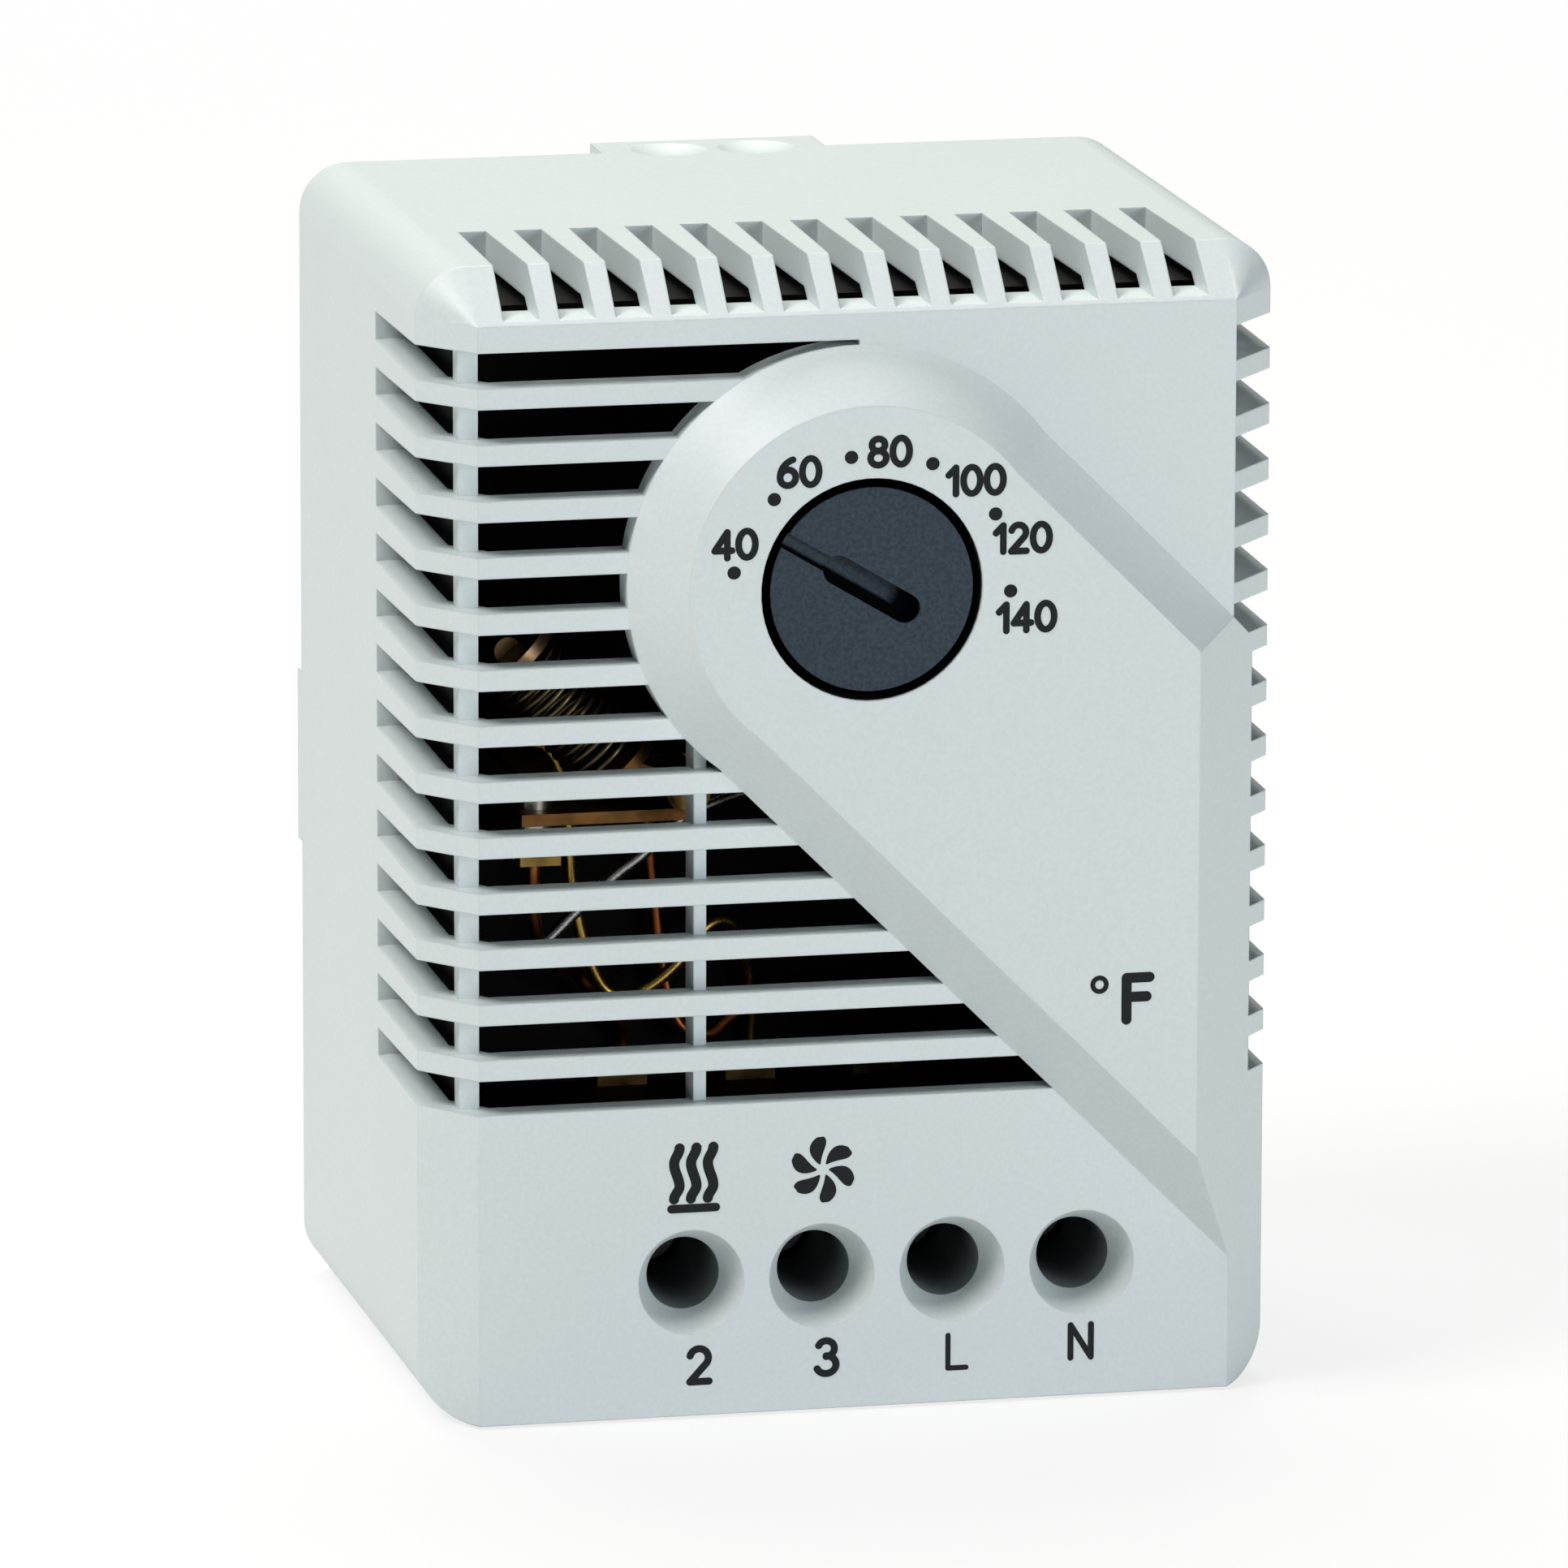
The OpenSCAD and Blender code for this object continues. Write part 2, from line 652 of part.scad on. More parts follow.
// The cam's radius grows evenly with the angle over the dial's travel, and runs back over the rest of the turn
function cam_radius(a) = a <= cam_high ? cam_r + cam_rise * a
    : cam_r + cam_rise * (cam_high + (cam_low - cam_high) * (a - cam_high) / (cam_low + 360 - cam_high));
module setting_cam() {
    color([0.86, 0.84, 0.78]) difference() {
        union() {
            translate([0, 0, dial_z]) along_y(depth(cam_d), depth(cam_d + cam_t))
                polygon([for (a = [cam_low : cam_step : cam_low + 360 - cam_step])
                    cam_radius(a) * [cos(a), sin(a)]]);
            rod_y(0, dial_z, depth(cam_d + cam_t) - over, depth(cam_d + cam_t + cam_hub_t), cam_hub_r);
        }
        rod_y(0, dial_z, depth(cam_d) - over, depth(cam_d + cam_t + cam_hub_t) + over, spindle_r);
    }
}

// The setting lever: two arms on a pivot, a lug for the calibration screw and a foot for the bimetal strip
module lever_arm(x, z) {
    length = norm([x - lever_x, z - lever_z]);
    translate([lever_x, 0, lever_z]) rotate([0, -atan2(z - lever_z, x - lever_x), 0])
        block([0, depth(lever_d), -lever_arm_w / 2], [length, depth(lever_d + lever_t), lever_arm_w / 2]);
}
module setting_lever() {
    lug_y = depth(cam_d + cam_t / 2);
    color([0.62, 0.63, 0.65]) difference() {
        union() {
            rod_y(lever_x, lever_z, depth(lever_d), depth(lever_d + lever_t), lever_boss_r);
            lever_arm(cal_lug_x + cal_lug_t / 2, dial_z);
            lever_arm(lever_x, bimetal_z + foot_t);
            block([cal_lug_x, lug_y - cal_lug_half, dial_z - cal_lug_half],
                [cal_lug_x + cal_lug_t, lug_y + cal_lug_half, dial_z + cal_lug_half]);
            block([foot_x0, lug_y - bimetal_w / 2, bimetal_z], [bimetal_x1, lug_y + bimetal_w / 2, bimetal_z + foot_t]);
        }
        rod_y(lever_x, lever_z, depth(lever_d) - over, depth(lever_d + lever_t) + over, pin_r + bearing_gap);
        rod_x(cal_lug_x - lever_arm_w, cal_x + over, lug_y, dial_z, cal_r + fit_gap);
        rod_x(cal_x, cal_x + lever_arm_w, lug_y, dial_z, cal_head_r + run_gap);
        for (x = rivet_places()) translate([x, lug_y, bimetal_z - over])
            cylinder(r = rivet_r, h = foot_t + 2 * over);
    }
}
function rivet_places() = [foot_x0 + rivet_head_r, lever_x - lever_arm_w / 2 - rivet_head_r - run_gap];
module lever_pin() {
    color([0.80, 0.81, 0.82]) {
        rod_y(lever_x, lever_z, depth(lever_d) - run_gap, depth(pin_end_d), pin_r);
        rod_y(lever_x, lever_z, depth(lever_d) - run_gap - pin_head_t, depth(lever_d) - run_gap, pin_head_r);
    }
}
module calibration_screw() {
    lug_y = depth(cam_d + cam_t / 2);
    tip_x = cam_r + tip_gap;
    color([0.80, 0.70, 0.42]) difference() {
        union() {
            rod_x(tip_x, tip_x + tip_len, lug_y, dial_z, tip_r);
            rod_x(tip_x + tip_len, cal_x, lug_y, dial_z, cal_r);
            rod_x(cal_x, cal_x + cal_head_t, lug_y, dial_z, cal_head_r);
        }
        block([cal_x + cal_head_t - screw_slot_t, lug_y - cal_head_r - over, dial_z - screw_slot_w / 2],
            [cal_x + cal_head_t + over, lug_y + cal_head_r + over, dial_z + screw_slot_w / 2]);
    }
}
module bimetal_strip() {
    lug_y = depth(cam_d + cam_t / 2);
    color([0.72, 0.60, 0.42]) difference() {
        block([bimetal_x0, lug_y - bimetal_w / 2, bimetal_z - bimetal_t], [bimetal_x1, lug_y + bimetal_w / 2, bimetal_z]);
        for (x = rivet_places()) translate([x, lug_y, bimetal_z - bimetal_t - over])
            cylinder(r = rivet_r, h = bimetal_t + 2 * over);
    }
}
module bimetal_rivets() {
    lug_y = depth(cam_d + cam_t / 2);
    color([0.80, 0.70, 0.42]) for (x = rivet_places()) {
        translate([x, lug_y, bimetal_z - bimetal_t]) cylinder(r = rivet_r, h = bimetal_t + foot_t);
        translate([x, lug_y, bimetal_z - bimetal_t - rivet_head_t]) cylinder(r = rivet_head_r, h = rivet_head_t);
        translate([x, lug_y, bimetal_z + foot_t]) cylinder(r = rivet_head_r, h = rivet_head_t);
    }
}

// The contact arm: a blade on a barrel, with an ear that takes the snap spring
contact_x = arm_x - arm_reach;
contact_z = arm_z - arm_drop - arm_t / 2;
contact_y = depth(arm_d + arm_w / 2);
module snap_frame() {
    translate([snap_x, depth(snap_d), snap_z]) rotate([0, 90 + snap_angle, 0]) children();
}
module contact_arm() {
    color([0.80, 0.66, 0.36]) difference() {
        union() {
            rod_y(arm_x, arm_z, depth(arm_d), depth(arm_d + arm_w), barrel_r);
            block([contact_x - contact_r, depth(arm_d), contact_z - arm_t / 2],
                [arm_x, depth(arm_d + arm_w), contact_z + arm_t / 2]);
            snap_frame() translate([0, 0, snap_len / 2 + run_gap]) cylinder(r = seat_r, h = seat_t);
            ear_end = [snap_x + (snap_len / 2 + run_gap) * cos(snap_angle),
                snap_z - (snap_len / 2 + run_gap) * sin(snap_angle)];
            ear_len = norm([arm_x, arm_z] - ear_end);
            translate([arm_x, depth(snap_d), arm_z])
                rotate([0, -atan2(ear_end[1] - arm_z, ear_end[0] - arm_x), 0])
                block([0, -ear_w / 2, -ear_w / 2], [ear_len - seat_t / 2, ear_w / 2, ear_w / 2]);
        }
        rod_y(arm_x, arm_z, depth(arm_d) - over, depth(arm_d + arm_w) + over, arm_pin_r + bearing_gap);
        translate([contact_x, contact_y, contact_z - arm_t / 2 - over])
            cylinder(r = contact_r / 2, h = arm_t + 2 * over);
        snap_frame() translate([0, 0, -snap_len / 2]) cylinder(r = seat_r, h = snap_len + run_gap);
    }
}
module moving_contact() {
    color([0.85, 0.85, 0.84]) {
        translate([contact_x, contact_y, contact_z - arm_t / 2 - rivet_h]) cylinder(r = contact_r, h = rivet_h);
        translate([contact_x, contact_y, contact_z - arm_t / 2]) cylinder(r = contact_r / 2, h = arm_t);
        translate([contact_x, contact_y, contact_z + arm_t / 2]) cylinder(r = contact_r, h = rivet_h);
    }
}
module arm_pivot() {
    back = depth(chassis_back_d - chassis_t);
    color([0.74, 0.62, 0.34]) {
        rod_y(arm_x, arm_z, depth(arm_d) - run_gap, depth(arm_d + arm_w) + run_gap, arm_pin_r);
        rod_y(arm_x, arm_z, depth(arm_d) - run_gap - arm_head_t, depth(arm_d) - run_gap, arm_head_r);
        block([arm_x - pivot_w / 2, depth(arm_d + arm_w) + run_gap, arm_z - pivot_w / 2],
            [arm_x + pivot_w / 2, back, arm_z + pivot_w / 2]);
    }
}
// A fixed contact: a rivet on a strip that stands on the chassis
module fixed_contact(side) {
    face_z = contact_z + side * (arm_t / 2 + rivet_h + contact_gap);
    root_z = face_z + side * rivet_h;
    tail_z = root_z + side * strip_t;
    color([0.80, 0.66, 0.36]) {
        translate([contact_x, contact_y, min(face_z, root_z)]) cylinder(r = contact_r, h = rivet_h);
        block([contact_x - strip_side, depth(arm_d), min(root_z, tail_z)],
            [contact_x + strip_side, depth(chassis_back_d - chassis_t), max(root_z, tail_z)]);
    }
}
module cooling_contact() { fixed_contact(1); }
module heating_contact() { fixed_contact(-1); }
// The post and disc that the snap spring stands on
module spring_seat() {
    seat_x = snap_x - (snap_len / 2 + seat_t) * cos(snap_angle);
    seat_z = snap_z + (snap_len / 2 + seat_t) * sin(snap_angle);
    color([0.62, 0.63, 0.65]) {
        snap_frame() translate([0, 0, -snap_len / 2 - seat_t]) cylinder(r = seat_r, h = seat_t);
        rod_y(seat_x, seat_z, depth(snap_d), depth(chassis_back_d - chassis_t), seat_stem_r);
    }
}
module snap_spring() {
    color([0.62, 0.56, 0.42]) snap_frame() translate([0, 0, -snap_len / 2])
        coil("snap_spring", snap_r, snap_wire, snap_curls, snap_len);
}

// The heat feedback resistor: a ceramic body with a cap at each end
module feedback_resistor() {
    color([0.60, 0.50, 0.40]) {
        rod_x(resistor_x0, resistor_x0 + resistor_len, depth(resistor_d), resistor_z, resistor_r);
        for (x = [resistor_x0, resistor_x0 + resistor_len - resistor_cap_len])
            rod_x(x, x + resistor_cap_len, depth(resistor_d), resistor_z, resistor_cap_r);
    }
}
// A lead between two ends given as x, depth and z, bent through points at shares of the way in each direction
module lead(start, end, way_shares) {
    shares = concat([[0, 0, 0]], way_shares, [[1, 1, 1]]);
    points = [for (s = shares) [for (i = [0 : 2]) start[i] + s[i] * (end[i] - start[i])]];
    path = [for (p = points) [p[0], depth(p[1]), p[2]]];
    side = [for (p = points) [0, lead_side_share, 1]];
    tube(path, side, lead_r, lead_sides);
}
// The top of a terminal's rail, where its lead is joined
function rail_end(k) = [terminal_x(k), rail_d + rail_t / 2, rail_top_z[k]];
resistor_left_shares = [[0.08, 0, -0.01], [0.22, -0.03, -0.01], [0.34, -0.09, 0.05], [0.44, -0.12, 0.14],
    [0.56, -0.12, 0.35], [0.65, -0.12, 0.48], [0.78, -0.12, 0.71], [0.86, -0.12, 0.86], [0.94, -0.07, 0.97],
    [0.985, 0.12, 1], [1, 0.4, 1]];
resistor_right_shares = [[0.34, 0, 0], [0.69, 0.04, 0.04], [0.92, 0.14, 0.15], [0.98, 0.36, 0.37],
    [1, 0.68, 0.63], [1, 0.91, 0.81], [1, 1, 0.91]];
heating_shares = [[0, 0, 0.07], [0.01, 0.03, 0.2], [0.08, 0.12, 0.34], [0.2, 0.25, 0.45], [0.37, 0.56, 0.54],
    [0.57, 0.84, 0.6], [0.73, 0.88, 0.69], [0.95, 0.94, 0.82], [1, 1, 0.91]];
cooling_shares = [[0.06, 0, 0], [0.13, 0.02, 0.07], [0.17, 0.07, 0.22], [0.19, 0.12, 0.42], [0.25, 0.17, 0.61],
    [0.33, 0.22, 0.73], [0.43, 0.24, 0.76], [0.53, 0.24, 0.735], [0.65, 0.27, 0.67], [0.78, 0.35, 0.57],
    [0.88, 0.48, 0.57], [0.96, 0.7, 0.67], [1, 0.93, 0.84], [1, 1, 0.93]];
common_shares = [[0, 0, 0.06], [0.02, 0.17, 0.23], [0.05, 0.33, 0.45], [0.09, 0.25, 0.7], [0.15, -0.08, 0.85],
    [0.27, -0.33, 0.88], [0.35, -0.4, 0.83], [0.5, -0.42, 0.76], [0.68, -0.33, 0.75], [0.87, 0.17, 0.81],
    [0.98, 0.75, 0.89], [1, 1, 0.95]];
module resistor_leads() {
    color([0.78, 0.79, 0.80]) {
        lead([resistor_x0, resistor_d, resistor_z],
            [contact_x - resistor_lead_set, chassis_back_d - chassis_t, bimetal_z - resistor_lead_drop],
            resistor_left_shares);
        lead([resistor_x0 + resistor_len, resistor_d, resistor_z], rail_end(3), resistor_right_shares);
    }
}
module heating_lead() {
    low_z = contact_z - arm_t / 2 - 2 * rivet_h - contact_gap - strip_t;
    color([0.72, 0.42, 0.25]) lead([contact_x, arm_d + arm_w / 2, low_z], rail_end(0), heating_shares);
}
module cooling_lead() {
    root_z = contact_z + arm_t / 2 + 2 * rivet_h + contact_gap + strip_t / 2;
    color([0.72, 0.42, 0.25]) lead([contact_x + strip_side, cooling_lead_d, root_z], rail_end(1), cooling_shares);
}
module common_lead() {
    color([0.72, 0.42, 0.25]) lead([arm_x, common_lead_d, arm_z - pivot_w / 2], rail_end(2), common_shares);
}

// The terminal block: a chamber for each clamp, a ledge for the screw's head, and wire entries through the floor
module terminal_block() {
    color([0.16, 0.17, 0.18]) difference() {
        union() {
            block([terminal_x(0) - block_side, depth(block_d), block_low_z],
                [terminal_x(3) + block_side, depth(block_end_d), block_high_z]);
            block([terminal_x(0) - entry_side, depth(wire_d - entry_half), 0],
                [terminal_x(3) + entry_side, depth(wire_d + entry_half), block_low_z + over]);
        }
        for (k = [0 : 3]) {
            x = terminal_x(k);
            rod_y(x, terminal_z, depth(block_d) - over, depth(block_ledge_d), screw_head_r + run_gap);
            rod_y(x, terminal_z, depth(block_d), depth(block_end_d - over), screw_r + run_gap);
            block([x - chamber_side, depth(block_ledge_d + block_ledge_t), terminal_z - chamber_z_half],
                [x + chamber_side, depth(chamber_end_d), terminal_z + chamber_z_half]);
            translate([x, depth(wire_d), -over]) cylinder(r = wire_r, h = wall + over);
            translate([x, depth(wire_d), wall]) cylinder(r1 = wire_r, r2 = screw_r + run_gap, h = entry_cone_h);
            translate([x, depth(wire_d), wall]) cylinder(r = screw_r + run_gap, h = terminal_z - wall);
            block([x - rail_w / 2, depth(rail_d), terminal_z],
                [x + rail_w / 2, depth(rail_d + rail_t), block_high_z + over]);
        }
    }
}
module terminal_screw(k) {
    x = terminal_x(k);
    color([0.80, 0.81, 0.82]) difference() {
        union() {
            rod_y(x, terminal_z, depth(screw_head_d), depth(screw_head_d + screw_head_t), screw_head_r);
            rod_y(x, terminal_z, depth(screw_head_d + screw_head_t / 2), depth(rail_d) - run_gap, screw_r);
        }
        block([x - screw_head_r - over, depth(screw_head_d) - over, terminal_z - screw_slot_w / 2],
            [x + screw_head_r + over, depth(screw_head_d + screw_slot_t), terminal_z + screw_slot_w / 2]);
    }
}
// The wire clamp: a square cage, threaded at the front, that draws the wire up to the rail
module wire_clamp(k) {
    x = terminal_x(k);
    color([0.72, 0.73, 0.75]) difference() {
        block([x - cage_side, depth(cage_front_d), terminal_z - cage_z_half],
            [x + cage_side, depth(cage_end_d), terminal_z + cage_z_half]);
        block([x - cage_side + cage_wall, depth(cage_front_d + cage_front_t), terminal_z - cage_z_half - over],
            [x + cage_side - cage_wall, depth(cage_end_d - cage_wall), terminal_z + cage_z_half + over]);
        rod_y(x, terminal_z, depth(cage_front_d) - over, depth(cage_front_d + cage_front_t) + over,
            screw_r + bearing_gap);
    }
}
// The brass rail that each wire is pressed against, and that carries the current to the switch
module terminal_rail(k) {
    color([0.82, 0.70, 0.38])
        block([terminal_x(k) - rail_w / 2, depth(rail_d), terminal_z - cage_z_half],
            [terminal_x(k) + rail_w / 2, depth(rail_d + rail_t), rail_top_z[k]]);
}

front_cover();
rear_cover();
rail_latch();
latch_spring();
dial_knob();
dial_spindle();
spindle_clip();
setting_cam();
chassis();
setting_lever();
lever_pin();
calibration_screw();
bimetal_strip();
bimetal_rivets();
contact_arm();
moving_contact();
arm_pivot();
spring_seat();
snap_spring();
cooling_contact();
heating_contact();
feedback_resistor();
resistor_leads();
heating_lead();
cooling_lead();
common_lead();
terminal_block();
for (k = [0 : 3]) {
    terminal_screw(k);
    wire_clamp(k);
    terminal_rail(k);
}
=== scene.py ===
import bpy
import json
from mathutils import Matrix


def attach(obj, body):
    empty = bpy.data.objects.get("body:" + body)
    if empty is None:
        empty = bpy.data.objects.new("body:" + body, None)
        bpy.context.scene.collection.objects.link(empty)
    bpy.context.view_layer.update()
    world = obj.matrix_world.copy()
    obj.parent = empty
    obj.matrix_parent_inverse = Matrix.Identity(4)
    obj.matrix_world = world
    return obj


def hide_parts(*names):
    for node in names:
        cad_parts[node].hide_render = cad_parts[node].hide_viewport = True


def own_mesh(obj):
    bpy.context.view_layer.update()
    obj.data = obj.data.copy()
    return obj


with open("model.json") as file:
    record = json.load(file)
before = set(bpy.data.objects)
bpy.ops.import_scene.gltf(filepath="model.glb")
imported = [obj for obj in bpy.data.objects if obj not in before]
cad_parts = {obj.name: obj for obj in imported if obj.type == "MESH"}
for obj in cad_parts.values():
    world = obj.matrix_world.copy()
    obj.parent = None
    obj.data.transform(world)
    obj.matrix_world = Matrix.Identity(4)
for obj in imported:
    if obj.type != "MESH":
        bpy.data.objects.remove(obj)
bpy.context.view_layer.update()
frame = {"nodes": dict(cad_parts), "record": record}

import json
import math

import bpy
import numpy as np
from mathutils import Quaternion, Vector

mm = 0.001
print("frame loaded:", len(frame["nodes"]), "nodes")

# places of the CAD part that several pieces share, in mm
planeY = -19.5  # the louvred front
panelY = -23.0  # the raised panel's face
dialZ = 48.8
pointerAngle = 149  # the dial's pointer at rest, in degrees from +X towards +Z
terminalZ = 7.9  # the middle of the four screwdriver tubes
terminalPitch = 7.69
terminalX = [-9.7 + k * terminalPitch for k in range(4)]


# sRGB hex to linear: below 0.04045 divide by 12.92, above it ((c + 0.055) / 1.055) ^ 2.4
def hexLinear(code):
    parts = [int(code[i:i + 2], 16) / 255 for i in (1, 3, 5)]
    return [p / 12.92 if p <= 0.04045 else ((p + 0.055) / 1.055) ** 2.4 for p in parts] + [1.0]


# one node with its settings, its fixed inputs and its links
def addNode(tree, kind, inputs=None, links=None, **settings):
    node = tree.nodes.new(kind)
    for name, value in settings.items():
        setattr(node, name, value)
    for socket, value in (inputs or {}).items():
        node.inputs[socket].default_value = value
    for socket, source in (links or {}).items():
        tree.links.new(source, node.inputs[socket])
    return node


# a new material with an empty tree; the colour is what a plain view shows
def startMaterial(name, colour):
    material = bpy.data.materials.new(name)
    material.use_nodes = True
    material.node_tree.nodes.clear()
    material.diffuse_color = hexLinear(colour)
    return material, material.node_tree


def endMaterial(tree, shader):
    addNode(tree, "ShaderNodeOutputMaterial", links={"Surface": shader.outputs[0]})


# one operation on the first outputs of two nodes
def combine(tree, operation, a, b):
    return addNode(tree, "ShaderNodeMath", {}, {0: a.outputs[0], 1: b.outputs[0]}, operation=operation)


# the range between first and last turned evenly into that between low and high, and held at both ends
def mapRange(tree, value, first, last, low=0.0, high=1.0):
    return addNode(tree, "ShaderNodeMapRange",
                   {"From Min": first, "From Max": last, "To Min": low, "To Max": high}, {"Value": value})


# two colours mixed by a share; 6 and 7 are the mix node's colour inputs, and 2 is its colour output
def mixColours(tree, share, first, second):
    mix = addNode(tree, "ShaderNodeMix", {6: hexLinear(first), 7: hexLinear(second)}, {"Factor": share},
                  data_type="RGBA")
    return mix.outputs[2]


def splitPlace(tree, place):
    return addNode(tree, "ShaderNodeSeparateXYZ", links={0: place.outputs["Object"]})


# 0 up to the first of two places along Y and 1 past the second
def depthShare(tree, parts, depths):
    return mapRange(tree, parts.outputs["Y"], depths[0] * mm, depths[1] * mm)


# 0 up to the first of two distances along a direction and 1 past the second
def wayShare(tree, source, direction, reach):
    way = addNode(tree, "ShaderNodeVectorMath", {1: direction}, {0: source.outputs[0]},
                  operation="DOT_PRODUCT")
    return mapRange(tree, way.outputs["Value"], reach[0] * mm, reach[1] * mm)


# 1 within a radius of an axis along Y, and 0 past it.
# Every pitch along X there is such an axis, if a pitch is given.
def nearAxis(tree, parts, x, z, radius, pitch=None, softEdge=0.02):
    across = addNode(tree, "ShaderNodeMath", {1: x * mm}, {0: parts.outputs["X"]}, operation="SUBTRACT")
    if pitch:
        across = addNode(tree, "ShaderNodeMath", {1: -pitch / 2 * mm, 2: pitch / 2 * mm},
                         {0: across.outputs[0]}, operation="WRAP")
    up = addNode(tree, "ShaderNodeMath", {1: z * mm}, {0: parts.outputs["Z"]}, operation="SUBTRACT")
    flat = addNode(tree, "ShaderNodeCombineXYZ", {}, {"X": across.outputs[0], "Z": up.outputs[0]})
    away = addNode(tree, "ShaderNodeVectorMath", {}, {0: flat.outputs[0]}, operation="LENGTH")
    return mapRange(tree, away.outputs["Value"], (radius + softEdge) * mm, radius * mm)


# Painted shade on the housing, where hardly any light comes: round the dial, and down the four screwdriver
# tubes.
# A tube's painted shade is a little lighter at its mouth and along its lower wall. Depths are along Y, edges
# from its middle.
dialRingShade = {"radius": 6.47, "depths": (-22.95, -22.6)}
tubePaintedShade = {"radius": 2.16, "mouth": (-17.13, -17.09), "depths": (-17.1, -12.5), "darkAtMouth": 0.78,
           "halfSpan": 13.9, "highEdge": 1.2, "lowEdge": -2.1, "darkBelow": 0.72}


def housingPaintedShade(tree, place):
    parts = splitPlace(tree, place)
    # painted shade in the ring round the dial
    ring = combine(tree, "MULTIPLY", depthShare(tree, parts, dialRingShade["depths"]),
                   nearAxis(tree, parts, 0, dialZ, dialRingShade["radius"]))
    # painted shade down the tubes, a little lighter at the mouth
    deep = depthShare(tree, parts, tubePaintedShade["depths"])
    shade = mapRange(tree, deep.outputs[0], 0.0, 1.0, tubePaintedShade["darkAtMouth"], 1.0)
    tube = combine(tree, "MULTIPLY", depthShare(tree, parts, tubePaintedShade["mouth"]), shade)
    tube = combine(tree, "MULTIPLY", tube,
                   nearAxis(tree, parts, terminalX[0], terminalZ, tubePaintedShade["radius"], terminalPitch))
    middleX = sum(terminalX) / len(terminalX)
    between = addNode(tree, "ShaderNodeMath", {1: middleX * mm, 2: tubePaintedShade["halfSpan"] * mm},
                      {0: parts.outputs["X"]}, operation="COMPARE")
    tube = combine(tree, "MULTIPLY", tube, between)
    # painted light on a tube's lower wall: its painted shade is weaker lower down
    low = mapRange(tree, parts.outputs["Z"], (terminalZ + tubePaintedShade["highEdge"]) * mm,
                   (terminalZ + tubePaintedShade["lowEdge"]) * mm, 1.0, tubePaintedShade["darkBelow"])
    tube = combine(tree, "MULTIPLY", tube, low)
    return combine(tree, "MAXIMUM", ring, tube)


# Painted shade on the dial's side and the deep end of the screwdriver slot across it; a painted shadow on its
# lower edge.
# Places in the slot are measured from the dial's middle, along the pointer and square to it.
slotPaintedShade = {"rimRadius": 5.82, "depths": (-22.83, -22.6), "deepEnd": (-1.1, -1.9), "lowEdge": (0.12, 0.3)}


def dialPaintedShade(tree, place):
    parts = splitPlace(tree, place)
    depth = depthShare(tree, parts, slotPaintedShade["depths"])
    inside = nearAxis(tree, parts, 0, dialZ, slotPaintedShade["rimRadius"])
    rim = addNode(tree, "ShaderNodeMath", {0: 1.0}, {1: inside.outputs[0]}, operation="SUBTRACT")
    angle = math.radians(pointerAngle)
    middle = addNode(tree, "ShaderNodeVectorMath", {1: (0, 0, dialZ * mm)}, {0: place.outputs["Object"]},
                     operation="SUBTRACT")
    deepEnd = wayShare(tree, middle, (math.cos(angle), 0, math.sin(angle)), slotPaintedShade["deepEnd"])
    lowEdge = wayShare(tree, middle, (-math.sin(angle), 0, math.cos(angle)), slotPaintedShade["lowEdge"])
    # painted shade at the slot's deep end and on the dial's side below its face, painted shadow along the
    # slot's lower edge
    slot = combine(tree, "MULTIPLY", depth, combine(tree, "MAXIMUM", deepEnd, lowEdge))
    return combine(tree, "MAXIMUM", slot, combine(tree, "MULTIPLY", rim, depth))


# Moulded plastic: a spark-eroded mould leaves a fine even grain, so highlights are soft, slightly speckled.
# Real grain is about 0.05 mm; it is drawn coarser, grainMm across, so that it still shows at this size.
# The colour wanders a little over flowMm, as flow in the mould leaves it.
# Painted shade: where a shade mask is given, colour and mirror keep only the small share of their light given
# for it.
def mouldedPlastic(name, colour, shade, roughness, grainMm, grainDepthMm, edgeMm, speckle, ior=1.53,
                   sheen=0.5, paintedShade=None, flowMm=20, lightInPaintedShade=0.04, bumpStrength=0.5):
    material, tree = startMaterial(name, colour)
    place = addNode(tree, "ShaderNodeTexCoord")
    grain = addNode(tree, "ShaderNodeTexNoise",
                    {"Scale": 1 / (grainMm * mm), "Detail": 2.0, "Roughness": 0.6},
                    {"Vector": place.outputs["Object"]})
    flow = addNode(tree, "ShaderNodeTexNoise", {"Scale": 1 / (flowMm * mm), "Detail": 3.0},
                   {"Vector": place.outputs["Object"]})
    tone = mixColours(tree, flow.outputs["Fac"], colour, shade)
    specks = mapRange(tree, grain.outputs["Fac"], 0.35, 0.65, 1 - speckle, 1 + speckle)
    base = addNode(tree, "ShaderNodeVectorMath", {}, {0: tone, 1: specks.outputs[0]}, operation="MULTIPLY")
    soft = addNode(tree, "ShaderNodeBevel", {"Radius": edgeMm * mm}, samples=6)
    bump = addNode(tree, "ShaderNodeBump", {"Strength": bumpStrength, "Distance": grainDepthMm * mm},
                   {"Height": grain.outputs["Fac"], "Normal": soft.outputs[0]})
    shader = addNode(tree, "ShaderNodeBsdfPrincipled",
                     {"Roughness": roughness, "IOR": ior, "Specular IOR Level": sheen},
                     {"Normal": bump.outputs[0]})
    # painted shade: the mask darkens the colour and the mirror
    if paintedShade:
        lit = mapRange(tree, paintedShade(tree, place).outputs[0], 0.0, 1.0, 1.0, lightInPaintedShade)
        base = addNode(tree, "ShaderNodeVectorMath", {}, {0: base.outputs[0], 1: lit.outputs[0]},
                       operation="MULTIPLY")
        mirror = addNode(tree, "ShaderNodeMath", {1: sheen}, {0: lit.outputs[0]}, operation="MULTIPLY")
        tree.links.new(mirror.outputs[0], shader.inputs["Specular IOR Level"])
    tree.links.new(base.outputs[0], shader.inputs["Base Color"])
    endMaterial(tree, shader)
    return material


